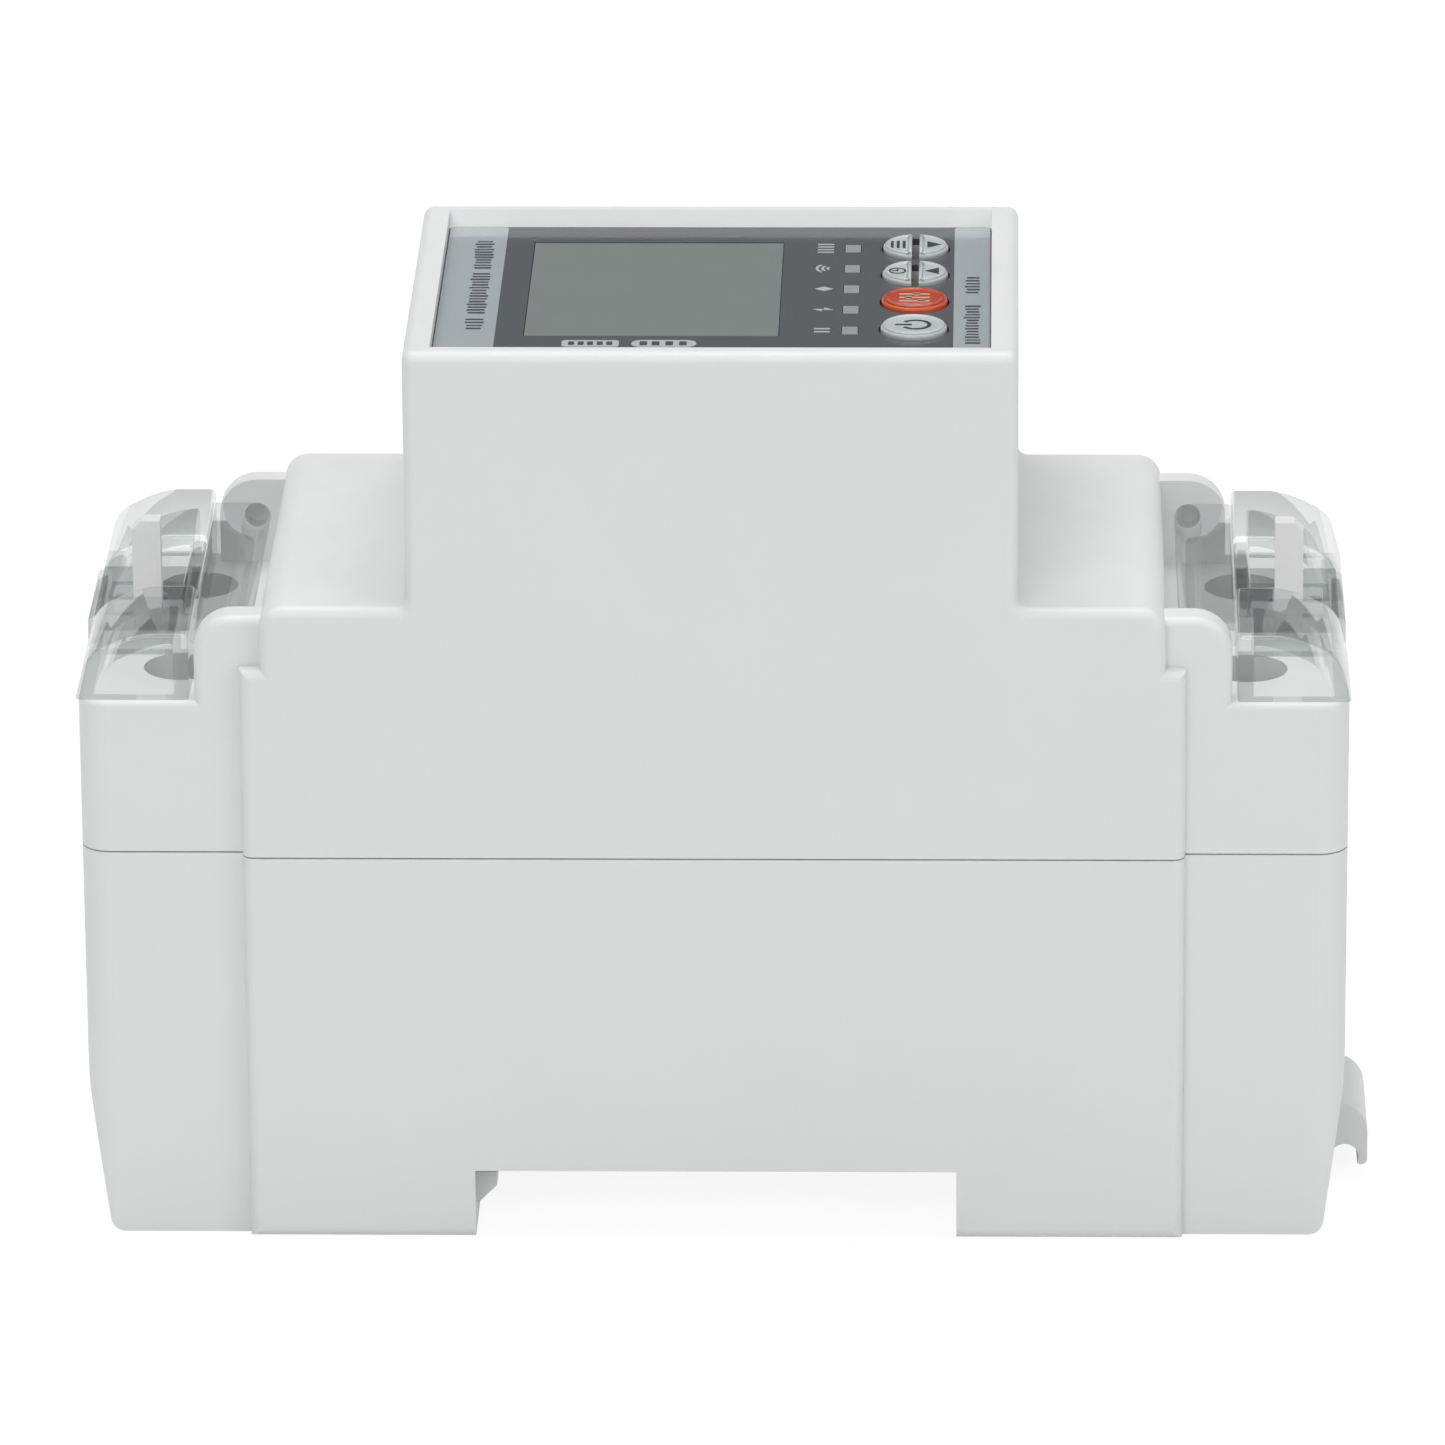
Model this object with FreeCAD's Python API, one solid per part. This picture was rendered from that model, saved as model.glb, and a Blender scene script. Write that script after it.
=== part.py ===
"""Two-module DIN-rail timer and protective relay, as an assembly of separate pieces.

Frame: the origin is the centre of the rail seat, the roof of the 35 mm rail slot.
+Z points from the rail to the front panel, X runs along the case between its two ends,
and Y across its two modules. The supply end is at -X, the load end and rail clip at +X.
All sizes are millimetres.
"""
import FreeCAD
import Part
import math
import os

from FreeCAD import Vector

OUT = "parts"

# ---------------------------------------------------------------- case, outside
CASE_HALF_LENGTH = 47.0      # centre to end face
CASE_HALF_WIDTH = 18.0       # two modules of 18 mm
END_SETBACK = 1.3            # the ends are narrower than the middle, on each side
FOOT_DROP = 5.5              # feet below the rail seat
PARTING_Z = 25.0             # joint between the two shells
PARTING_GAP = 0.12
DECK_Z = 36.85               # terminal deck
SHOULDER_Z = 44.6
TOWER_Z = 64.4               # rim of the front panel
TOWER_HALF_LENGTH = 22.5
SHOULDER_SETBACK = 13.6      # case end to shoulder end
STEP_OUT = 1.5               # the middle is this much longer below its step
STEP_DROP = 4.85             # shoulder to step
WALL = 1.9
EDGE_RADIUS = 0.9            # along the outline of the side faces
TOWER_EDGE_RADIUS = 0.8
SHOULDER_RADIUS = 1.8
END_CORNER_RADIUS = 2.2      # vertical corners of the ends
END_TAPER = 1.5              # the ends lean in this much towards the rail
TOE_RADIUS = 1.2
DECK_EDGE_RADIUS = 0.5

# ---------------------------------------------------------------- rail slot and clip
RAIL_SLOT_HALF = 18.0
HOOK_REACH = 1.5             # fixed hooks and clip nose, under the rail's lips
HOOK_DROP = 1.3              # rail seat to hook
HOOK_THICKNESS = 2.6
HOOK_Y = (4.0, 15.0)
SEAT_RELIEF = 0.4            # shallow grooves over the hooks, in the rail seat
RELIEF_BEYOND = 0.2          # past the hooks
FLOOR_WALL = 2.0             # over the rail
CLIP_HALF_WIDTH = 6.0
CLIP_THICKNESS = 2.6
CLIP_DROP = 1.5              # rail seat to clip
CLIP_GAP = 0.2
CLIP_TRAVEL = 2.5
CLIP_TAB_OUT = 2.1           # beyond the case's end
CLIP_TAB_TOP = 0.3
CLIP_TAB_LIP = 0.5           # hangs below the clip's plate
CLIP_TAB_SCOOP = 1.1         # finger hollow under the tab
CLIP_TAB_HALF_WIDTH = 5.0
SPRING_SLOT_HALF = 2.8
SPRING_LENGTH = 9.2
SPRING_STRIP = 0.4
SPRING_FOLDS = 5
SPRING_STOP = 1.6

# ---------------------------------------------------------------- hinge ears and covers
EAR_RADIUS = 2.85            # about the hinge
EAR_THICKNESS = 2.4
EAR_EDGE_RADIUS = 0.7
HINGE_FROM_SHOULDER = 2.05
HINGE_HEIGHT = 3.8           # over the deck
HINGE_PIN_RADIUS = 0.9
HINGE_PIN_LENGTH = 1.5
HINGE_CLEARANCE = 0.06
KNUCKLE_RADIUS = 1.05
TONGUE_THICKNESS = 1.2
COVER_HEIGHT = 5.2           # over the deck
COVER_WALL = 1.2
COVER_GAP = 0.1              # over the deck, and to the ears
COVER_INSET = 0.2            # behind the side of the case's end
COVER_EAR_GAP = 0.4
VALLEY_HALF = 5.5            # half the width of the valley between the two humps
VALLEY_HEIGHT = 2.75         # over the deck
TAB_FROM_END = 4.2           # case end to the middle of the upright tab
TAB_LENGTH = 2.1
TAB_THICKNESS = 1.6
TAB_HEIGHT = 8.55            # over the deck
TAB_SLOT_BEFORE = 0.5        # cover slot ahead of the tab, towards the hinge
TAB_SLOT_BEYOND = 1.5        # and behind it, for the swing
TAB_SLOT_SIDE = 0.5

# ---------------------------------------------------------------- terminals
POLE_Y = 9.0
TERMINAL_FROM_END = 7.4
WELL_RADIUS = 2.95
WELL_WALL = 1.25
WELL_DEPTH = 7.95
HEAD_CLEARANCE = 0.25
HEAD_DEPTH = 4.85            # deck to the screw's head
HEAD_HEIGHT = 2.8
SHANK_RADIUS = 2.4
THREAD_CLEARANCE = 0.05
BAR_TOP = 18.5
BAR_THICKNESS = 1.2
BAR_HALF_WIDTH = 2.9
BAR_END_GAP = 0.8            # bar end to chamber end
CAGE_HALF_LENGTH = 4.1
CAGE_HALF_WIDTH = 4.7
CAGE_WALL = 1.2
CAGE_FLOOR = 1.5
CAGE_ROOF = 2.2
CAGE_REST = 0.3              # cage roof over the bar when open
CAGE_TRAVEL = 6.5
WIRE_GAP = 8.0               # bar to cage floor when open
CAGE_CLEARANCE = 0.3
PARTITION = 2.2              # between the terminals and the power stage

# ---------------------------------------------------------------- front panel
RIM_X = 2.0
RIM_Y = 2.4
RIM_SLOPE = 0.8              # the rim's long inner faces lean out by this
LABEL_DEPTH = 1.1            # rim to label
LABEL_THICKNESS = 0.5
LABEL_CLEARANCE = 0.1
LABEL_CORNER = 0.5
ROOF_THICKNESS = 1.6
WINDOW_CENTRE = (-4.5, 0.7)
WINDOW_HALF = (9.35, 11.1)
KEY_X = 14.8
KEY_Y = 0.65                 # the row of keys is centred here
KEY_RADIUS = 2.45
KEY_CLEARANCE = 0.15
KEY_FLANGE = 0.5
KEY_SPACING = 0.47           # between two keys' flanges
KEY_PROUD = 0.35
KEY_EDGE_RADIUS = 0.25
KEY_SPLIT_HALF = 0.28        # half the gap between two half keys
KEY_TRAVEL = 0.25
FLANGE_THICKNESS = 1.0
FIT = 0.05                   # working clearance of small parts
LED_X = 10.1
LED_Y = 0.6
LED_PITCH = 4.87
LED_HALF = (0.575, 0.9)
PIPE_FOOT = 0.5
PIPE_FOOT_HEIGHT = 1.3

# ---------------------------------------------------------------- display stack
BOARD_THICKNESS = 1.6
BOARD_GAP = 0.4              # board edge to wall
DISPLAY_BOARD_DROP = 4.8     # roof to board
GLASS_MARGIN = 1.5           # display glass beyond its window
GLASS_GAP = 0.1
GLASS_THICKNESS = 2.6
SWITCH_HALF = (2.2, 2.2)
HALF_SWITCH_HALF = (1.1, 2.0)
SWITCH_HEIGHT = 1.6
PLUNGER_RADIUS = 0.6
PLUNGER_OUT = 0.7
PLUNGER_DEPTH = 0.9
STEM_RADIUS = 0.85
BOSS_INSET = (2.2, 2.1)      # boss centre to wall
BOSS_RADIUS = 1.6
SCREW_RADIUS = 0.8
SCREW_HEAD_RADIUS = 1.5
SCREW_HEAD_HEIGHT = 1.1
SCREW_LENGTH = 4.5
LED_BODY = (0.8, 1.2, 1.1)

# ---------------------------------------------------------------- power stage
MAIN_BOARD_TOP = 26.4
POST_INSET = (3.5, 2.0)      # post centre to cavity wall
POST_RADIUS = 1.8
FOOT_FLOOR = 1.9             # under the foot pockets
RING_X = (-26.5, -20.5)
RING_OUTER = 6.5
RING_INNER = 4.2
RELAY_X = (-15.5, 19.5)
RELAY_Y = (-15.4, -2.2)
RELAY_Z = (7.6, 24.5)
RELAY_WALL = 0.9
CONTACT_X = (-5.0, 7.0)
CONTACT_RADIUS = 1.8
CONTACT_HEIGHT = 0.6
CONTACT_GAP = 0.8
BRIDGE_THICKNESS = 0.8
PUSHER_X = (-1.0, 3.0)
PUSHER_HEIGHT = 2.2
COIL_X = (-12.5, 12.5)
COIL_Z = 12.8
COIL_RADIUS = 3.6
FLANGE_RADIUS = 4.0
CORE_RADIUS = 1.6
ARMATURE_GAP = 0.8
ARMATURE_THICKNESS = 1.2
ARMATURE_PIVOT_Z = 9.6
ARM_Y = (-5.2, -3.8)
ARM_THICKNESS = 1.2
ARM_PIN_RADIUS = 0.5

# ---------------------------------------------------------------- sizes that follow
END_HALF_WIDTH = CASE_HALF_WIDTH - END_SETBACK
SHOULDER_HALF = CASE_HALF_LENGTH - SHOULDER_SETBACK
BLOCK_HALF = SHOULDER_HALF + STEP_OUT
STEP_Z = SHOULDER_Z - STEP_DROP
INNER_HALF_WIDTH = CASE_HALF_WIDTH - WALL
TOWER_INNER_HALF = TOWER_HALF_LENGTH - WALL
SHOULDER_INNER_HALF = SHOULDER_HALF - WALL
TERMINAL_X = CASE_HALF_LENGTH - TERMINAL_FROM_END
CHAMBER_X = (
    TERMINAL_X - CAGE_HALF_LENGTH - CAGE_CLEARANCE,
    TERMINAL_X + CAGE_HALF_LENGTH + CAGE_CLEARANCE,
)
CHAMBER_HALF_WIDTH = CAGE_HALF_WIDTH + CAGE_CLEARANCE
CAVITY_HALF = CHAMBER_X[0] - PARTITION
BAR_BOTTOM = BAR_TOP - BAR_THICKNESS
CAGE_INSIDE = (BAR_BOTTOM - WIRE_GAP, BAR_TOP + CAGE_REST)
CAGE_Z = (CAGE_INSIDE[0] - CAGE_FLOOR, CAGE_INSIDE[1] + CAGE_ROOF)
CHAMBER_FLOOR = CAGE_Z[0] - CAGE_CLEARANCE
WELL_BOTTOM = DECK_Z - WELL_DEPTH
HEAD_TOP = DECK_Z - HEAD_DEPTH
DECK_UNDERSIDE = DECK_Z - WALL
POCKET_HALF = POLE_Y - CHAMBER_HALF_WIDTH - WELL_WALL
HINGE_X = SHOULDER_HALF + HINGE_FROM_SHOULDER
HINGE_Z = DECK_Z + HINGE_HEIGHT
EAR_INNER_Y = END_HALF_WIDTH - EAR_THICKNESS
TAB_X = CASE_HALF_LENGTH - TAB_FROM_END
LABEL_TOP = TOWER_Z - LABEL_DEPTH
PANEL_Z = LABEL_TOP - LABEL_THICKNESS
ROOF_UNDERSIDE = PANEL_Z - ROOF_THICKNESS
LABEL_HALF = (TOWER_HALF_LENGTH - RIM_X, CASE_HALF_WIDTH - RIM_Y)
BOARD_TOP = ROOF_UNDERSIDE - DISPLAY_BOARD_DROP
BOSS_X = TOWER_INNER_HALF - BOSS_INSET[0]
BOSS_Y = INNER_HALF_WIDTH - BOSS_INSET[1]
POST_X = CAVITY_HALF - POST_INSET[0]
POST_Y = INNER_HALF_WIDTH - POST_INSET[1]
MAIN_BOARD_BOTTOM = MAIN_BOARD_TOP - BOARD_THICKNESS
CLIP_Z = (-CLIP_DROP - CLIP_THICKNESS, -CLIP_DROP)
STOP_X = CAVITY_HALF - SPRING_STOP
KEY_TOP = LABEL_TOP + KEY_PROUD
KEY_PITCH = 2 * (KEY_RADIUS + KEY_FLANGE) + KEY_SPACING
SWITCH_TOP = BOARD_TOP + SWITCH_HEIGHT
PLUNGER_TOP = SWITCH_TOP + PLUNGER_OUT
CONTACT_TOP = BAR_TOP + CONTACT_HEIGHT
BRIDGE_Z = CONTACT_TOP + CONTACT_GAP + CONTACT_HEIGHT
FOUR_WAYS = [(-1, -1), (-1, 1), (1, -1), (1, 1)]


# ---------------------------------------------------------------- small helpers
def box(x, y, z):
    """A block from three (low, high) pairs."""
    return Part.makeBox(x[1] - x[0], y[1] - y[0], z[1] - z[0], Vector(x[0], y[0], z[0]))


def span(centre, half):
    return (centre - half, centre + half)


def rod(radius, start, end):
    """A round bar from point to point."""
    start, end = Vector(*start), Vector(*end)
    return Part.makeCylinder(radius, (end - start).Length, start, end - start)


def upright(radius, x, y, z):
    """A round bar along Z, between two heights."""
    return rod(radius, (x, y, z[0]), (x, y, z[1]))


def fuse(shapes):
    first, rest = shapes[0], shapes[1:]
    return first.fuse(rest).removeSplitter() if rest else first


def prism(points, y):
    """A profile in XZ, pulled along Y.

    A point (x, z) ends a line, and (x, z, via_x, via_z) ends an arc through the second pair.
    """
    edges = []
    last = Vector(points[0][0], y[0], points[0][1])
    for p in points[1:] + [points[0][:2]]:
        end = Vector(p[0], y[0], p[1])
        if len(p) == 4:
            edges.append(Part.Arc(last, Vector(p[2], y[0], p[3]), end).toShape())
        elif (end - last).Length > 1e-9:
            edges.append(Part.LineSegment(last, end).toShape())
        last = end
    return Part.Face(Part.Wire(edges)).extrude(Vector(0, y[1] - y[0], 0))


def rounded_plan(x, y, z, radius):
    """A block whose four vertical edges are rounded."""
    body = box(x, y, z)
    edges = [e for e in body.Edges if abs(e.BoundBox.ZLength - (z[1] - z[0])) < 1e-6]
    return body.makeFillet(radius, edges)


def mirror_x(shape):
    return shape.mirror(Vector(0, 0, 0), Vector(1, 0, 0))


def mirror_y(shape):
    return shape.mirror(Vector(0, 0, 0), Vector(0, 1, 0))


def both_ends(shape):
    return [shape, mirror_x(shape)]


def both_poles(shape):
    return [shape, mirror_y(shape)]


def save(name, *shapes):
    """Writes one node, from one or more shapes."""
    solids = [s for shape in shapes for s in shape.Solids]
    if not solids or not all(s.isValid() and s.Volume > 0 for s in solids):
        raise ValueError(name + " has a bad solid")
    shape = solids[0] if len(solids) == 1 else Part.makeCompound(solids)
    shape.exportStep(os.path.join(OUT, name + ".step"))
    print(name, len(solids), round(sum(s.Volume for s in solids), 1))


# ---------------------------------------------------------------- the case's outside
def centre_block():
    """The proud middle of the case: feet, rail slot, shoulders and tower in one outline."""
    k = SHOULDER_RADIUS * (1 - math.sqrt(0.5))
    right = [
        (RAIL_SLOT_HALF, 0),
        (RAIL_SLOT_HALF, -FOOT_DROP),
        (BLOCK_HALF, -FOOT_DROP),
        (BLOCK_HALF, STEP_Z),
        (SHOULDER_HALF, STEP_Z),
        (SHOULDER_HALF, SHOULDER_Z - SHOULDER_RADIUS),
        (SHOULDER_HALF - SHOULDER_RADIUS, SHOULDER_Z, SHOULDER_HALF - k, SHOULDER_Z - k),
        (TOWER_HALF_LENGTH, SHOULDER_Z),
        (TOWER_HALF_LENGTH, TOWER_Z),
        (0, TOWER_Z),
        (0, 0),
    ]
    half = prism(right, (-CASE_HALF_WIDTH, CASE_HALF_WIDTH))
    body = fuse(both_ends(half))

    def to_round(edge):
        b = edge.BoundBox
        on_side = b.YLength < 1e-6 and abs(abs(b.YMin) - CASE_HALF_WIDTH) < 1e-6
        in_slot = max(abs(b.XMin), abs(b.XMax)) <= RAIL_SLOT_HALF + 0.1 and b.ZMax < 1
        return on_side and not in_slot

    def on_tower(edge):
        b = edge.BoundBox
        on_end = b.XLength < 1e-6 and abs(abs(b.XMin) - TOWER_HALF_LENGTH) < 1e-6
        return on_end and b.ZLength < 1e-6

    body = body.makeFillet(TOWER_EDGE_RADIUS, [e for e in body.Edges if on_tower(e)])
    return body.makeFillet(EDGE_RADIUS, [e for e in body.Edges if to_round(e)])


def end_block():
    """The set-back load end, which leans in towards the rail."""
    inner = BLOCK_HALF - 5
    toe = CASE_HALF_LENGTH - END_TAPER
    k = TOE_RADIUS * (1 - math.sqrt(0.5))
    profile = [
        (inner, -FOOT_DROP),
        (toe - TOE_RADIUS, -FOOT_DROP),
        (toe, -FOOT_DROP + TOE_RADIUS, toe - k, -FOOT_DROP + k),
        (CASE_HALF_LENGTH - 0.1, 6.0),
        (CASE_HALF_LENGTH, 9.0),
        (CASE_HALF_LENGTH, DECK_Z),
        (inner, DECK_Z),
    ]
    side = (-END_HALF_WIDTH, END_HALF_WIDTH)
    plan = rounded_plan((0, CASE_HALF_LENGTH), side, (-FOOT_DROP, DECK_Z), END_CORNER_RADIUS)
    body = prism(profile, side).common(plan)

    def on_deck_edge(edge):
        b = edge.BoundBox
        return b.ZLength < 1e-6 and abs(b.ZMin - DECK_Z) < 1e-6 and b.XMax > inner + 1e-3

    return body.makeFillet(DECK_EDGE_RADIUS, [e for e in body.Edges if on_deck_edge(e)])


def ear():
    """One hinge ear at the load end. Its outer corner is round about the hinge."""
    inner = SHOULDER_HALF - 1
    outer = HINGE_X + EAR_RADIUS
    k = EAR_RADIUS * math.sqrt(0.5)
    profile = [
        (inner, DECK_Z - 1),
        (outer, DECK_Z - 1),
        (outer, HINGE_Z),
        (HINGE_X, HINGE_Z + EAR_RADIUS, HINGE_X + k, HINGE_Z + k),
        (inner, HINGE_Z + EAR_RADIUS),
    ]
    body = prism(profile, (EAR_INNER_Y, END_HALF_WIDTH))

    def on_outline(edge):
        b = edge.BoundBox
        on_side = b.YLength < 1e-6 and abs(b.YMin - END_HALF_WIDTH) < 1e-6
        return on_side and b.XMax > inner + 1e-3 and b.ZMax > DECK_Z - 1 + 1e-3

    body = body.makeFillet(EAR_EDGE_RADIUS, [e for e in body.Edges if on_outline(e)])
    hole_end = EAR_INNER_Y + HINGE_PIN_LENGTH + HINGE_CLEARANCE
    hole = rod(
        HINGE_PIN_RADIUS + HINGE_CLEARANCE,
        (HINGE_X, EAR_INNER_Y - 1, HINGE_Z),
        (HINGE_X, hole_end, HINGE_Z),
    )
    return body.cut(hole)


def case_outside():
    return fuse([centre_block()] + both_ends(end_block()))


# ---------------------------------------------------------------- the two shells
def terminal_chamber(z):
    """The space for one cage at the load end, on the +Y pole."""
    return box(CHAMBER_X, span(POLE_Y, CHAMBER_HALF_WIDTH), z)


def base_housing(case):
    """Lower shell: feet, rail slot, terminal chambers and the posts under the main board."""
    low, high = -FOOT_DROP - 1, PARTING_Z - PARTING_GAP / 2
    body = case.common(box((-60, 60), (-30, 30), (low, high)))
    side = (-INNER_HALF_WIDTH, INNER_HALF_WIDTH)
    pocket_z = (-FOOT_DROP + FOOT_FLOOR, FLOOR_WALL + 1)
    foot_inner = RAIL_SLOT_HALF + WALL
    channel_half = CLIP_HALF_WIDTH + CLIP_GAP
    middle = (-POCKET_HALF, POCKET_HALF)
    cores = (CHAMBER_X[0], CHAMBER_X[1] - 1)
    cuts = [
        box((-CAVITY_HALF, CAVITY_HALF), side, (FLOOR_WALL, PARTING_Z)),
        box((-CAVITY_HALF, -foot_inner), side, pocket_z),
    ]
    cuts += both_poles(
        box((foot_inner, CAVITY_HALF), (channel_half + WALL, INNER_HALF_WIDTH), pocket_z)
    )
    per_pole = [
        terminal_chamber((CHAMBER_FLOOR, PARTING_Z)),
        box(
            (CHAMBER_X[1] - 1, CASE_HALF_LENGTH + 1),
            span(POLE_Y, CAGE_HALF_WIDTH - CAGE_WALL),
            CAGE_INSIDE[:1] + (BAR_BOTTOM,),
        ),
        box(
            (CAVITY_HALF - 1, CHAMBER_X[0] + 1),
            span(POLE_Y, BAR_HALF_WIDTH + CAGE_CLEARANCE),
            (BAR_BOTTOM, PARTING_Z),
        ),
        box(
            cores,
            (channel_half + WALL, END_HALF_WIDTH - WALL),
            (-FOOT_DROP - 1, CHAMBER_FLOOR - WALL),
        ),
    ]
    for shape in per_pole:
        for pole in both_poles(shape):
            cuts += both_ends(pole)
    cuts += both_ends(box(CHAMBER_X, middle, (CHAMBER_FLOOR, PARTING_Z)))
    channel = box(
        (RAIL_SLOT_HALF - 1, CASE_HALF_LENGTH + 1),
        (-channel_half, channel_half),
        (CLIP_Z[0] - CLIP_GAP, CLIP_Z[1] + CLIP_GAP),
    )
    cuts.append(channel)
    relief = box(
        (RAIL_SLOT_HALF - HOOK_REACH - RELIEF_BEYOND, RAIL_SLOT_HALF),
        (-HOOK_Y[1] - RELIEF_BEYOND, HOOK_Y[1] + RELIEF_BEYOND),
        (-0.5, SEAT_RELIEF),
    )
    cuts += both_ends(relief)
    body = body.cut(cuts)
    adds = []
    for sx, sy in FOUR_WAYS:
        post = upright(POST_RADIUS, sx * POST_X, sy * POST_Y, (-FOOT_DROP + 1, MAIN_BOARD_BOTTOM))
        hole_z = (MAIN_BOARD_BOTTOM - SCREW_LENGTH, MAIN_BOARD_BOTTOM + 1)
        adds.append(post.cut(upright(SCREW_RADIUS, sx * POST_X, sy * POST_Y, hole_z)))
    hook_z = (-HOOK_DROP - HOOK_THICKNESS, -HOOK_DROP)
    hook = prism(
        [
            (-RAIL_SLOT_HALF - 1, hook_z[0]),
            (-RAIL_SLOT_HALF, hook_z[0]),
            (-RAIL_SLOT_HALF + HOOK_REACH, hook_z[0] + HOOK_REACH),
            (-RAIL_SLOT_HALF + HOOK_REACH, hook_z[1]),
            (-RAIL_SLOT_HALF - 1, hook_z[1]),
        ],
        HOOK_Y,
    )
    adds += both_poles(hook)
    adds.append(
        box(
            (STOP_X, STOP_X + SPRING_STOP),
            (-SPRING_SLOT_HALF + CLIP_GAP, SPRING_SLOT_HALF - CLIP_GAP),
            (CLIP_Z[0] - CLIP_GAP - 0.5, CLIP_Z[1] + CLIP_GAP + 0.5),
        )
    )
    return fuse([body] + adds)


def key_places():
    """Name, centre Y and which half, for each of the six keys."""
    first = KEY_Y - 1.5 * KEY_PITCH
    return [
        ("power", first, 0),
        ("set", first + KEY_PITCH, 0),
        ("timer", first + 2 * KEY_PITCH, -1),
        ("up", first + 2 * KEY_PITCH, 1),
        ("menu", first + 3 * KEY_PITCH, -1),
        ("down", first + 3 * KEY_PITCH, 1),
    ]


def led_places():
    return [LED_Y + (i - 2) * LED_PITCH for i in range(5)]


def panel_openings(z, grow):
    """The display window, key holes and lamp slots, cut through any panel between two heights."""
    shapes = [
        box(
            span(WINDOW_CENTRE[0], WINDOW_HALF[0] + grow),
            span(WINDOW_CENTRE[1], WINDOW_HALF[1] + grow),
            z,
        )
    ]
    for y in sorted({place[1] for place in key_places()}):
        shapes.append(upright(KEY_RADIUS + KEY_CLEARANCE, KEY_X, y, z))
    for y in led_places():
        shapes.append(box(span(LED_X, LED_HALF[0] + grow), span(y, LED_HALF[1] + grow), z))
    return shapes


def front_housing(case):
    """Upper shell: decks, wells, ears, shoulders and tower, with the sunk front panel."""
    low = PARTING_Z + PARTING_GAP / 2
    body = case.common(box((-60, 60), (-30, 30), (low, TOWER_Z + 1)))
    side = (-INNER_HALF_WIDTH, INNER_HALF_WIDTH)
    cuts = [
        box((-TOWER_INNER_HALF, TOWER_INNER_HALF), side, (low - 1, ROOF_UNDERSIDE)),
        box((-SHOULDER_INNER_HALF, SHOULDER_INNER_HALF), side, (low - 1, SHOULDER_Z - WALL)),
        rounded_plan(
            (-LABEL_HALF[0], LABEL_HALF[0]),
            (-LABEL_HALF[1], LABEL_HALF[1]),
            (PANEL_Z, TOWER_Z + 1),
            LABEL_CORNER,
        ),
        sloped_rim(),
    ]
    cuts += panel_openings((ROOF_UNDERSIDE - 1, PANEL_Z + 1), FIT)
    well_outside = upright(WELL_RADIUS + WELL_WALL, TERMINAL_X, POLE_Y, (WELL_BOTTOM, DECK_Z))
    chamber = terminal_chamber((low - 1, DECK_UNDERSIDE)).cut(well_outside)
    well = upright(WELL_RADIUS, TERMINAL_X, POLE_Y, (WELL_BOTTOM - 1, DECK_Z + 1))
    for shape in [chamber, well]:
        for pole in both_poles(shape):
            cuts += both_ends(pole)
    middle = (-POCKET_HALF, POCKET_HALF)
    cuts += both_ends(box(CHAMBER_X, middle, (low - 1, DECK_UNDERSIDE)))
    hinge_room = box(
        (SHOULDER_HALF, HINGE_X + EAR_RADIUS),
        (-EAR_INNER_Y, EAR_INNER_Y),
        (DECK_Z, SHOULDER_Z),
    )
    cuts += both_ends(hinge_room)
    body = body.cut(cuts)
    adds = []
    for pole in both_poles(ear()):
        adds += both_ends(pole)
    adds += both_ends(sealing_tab())
    for sx, sy in FOUR_WAYS:
        boss = upright(BOSS_RADIUS, sx * BOSS_X, sy * BOSS_Y, (BOARD_TOP, ROOF_UNDERSIDE + 0.5))
        hole = upright(SCREW_RADIUS, sx * BOSS_X, sy * BOSS_Y, (BOARD_TOP - 1, ROOF_UNDERSIDE))
        adds.append(boss.cut(hole))
    return fuse([body] + adds)


def sloped_rim():
    """Cutter that leans the recess's two long faces outwards from the label to the rim."""
    low, high = LABEL_HALF[1], LABEL_HALF[1] + RIM_SLOPE
    profile = [
        (-low, LABEL_TOP),
        (low, LABEL_TOP),
        (high, TOWER_Z),
        (high, TOWER_Z + 1),
        (-high, TOWER_Z + 1),
        (-high, TOWER_Z),
    ]
    cutter = prism(profile, (-LABEL_HALF[0], LABEL_HALF[0]))
    cutter.rotate(Vector(0, 0, 0), Vector(0, 0, 1), 90)
    return cutter


def sealing_tab():
    """Upright tab on the load deck, which stands up through the cover's valley."""
    half = TAB_LENGTH / 2
    top = DECK_Z + TAB_HEIGHT
    chamfer = 0.7
    return prism(
        [
            (TAB_X - half, DECK_Z - 0.5),
            (TAB_X + half, DECK_Z - 0.5),
            (TAB_X + half, top - chamfer),
            (TAB_X + half - chamfer, top),
            (TAB_X - half, top),
        ],
        (-TAB_THICKNESS / 2, TAB_THICKNESS / 2),
    )


# ---------------------------------------------------------------- covers
def cover_profile(inset):
    """The cover's side profile at the load end, moved in by a wall."""
    inner = HINGE_X + EAR_RADIUS + COVER_EAR_GAP + inset
    end = CASE_HALF_LENGTH + 0.1 - inset
    bottom = DECK_Z + COVER_GAP - (1 if inset else 0)
    top = DECK_Z + COVER_HEIGHT - inset
    return [
        (inner, bottom),
        (inner, top),
        (end - 5.4, top),
        (end - 2.2, top - 1.1, end - 3.7, top - 0.4),
        (end - 0.6, top - 2.8, end - 1.15, top - 1.8),
        (end, bottom),
    ]


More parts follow.
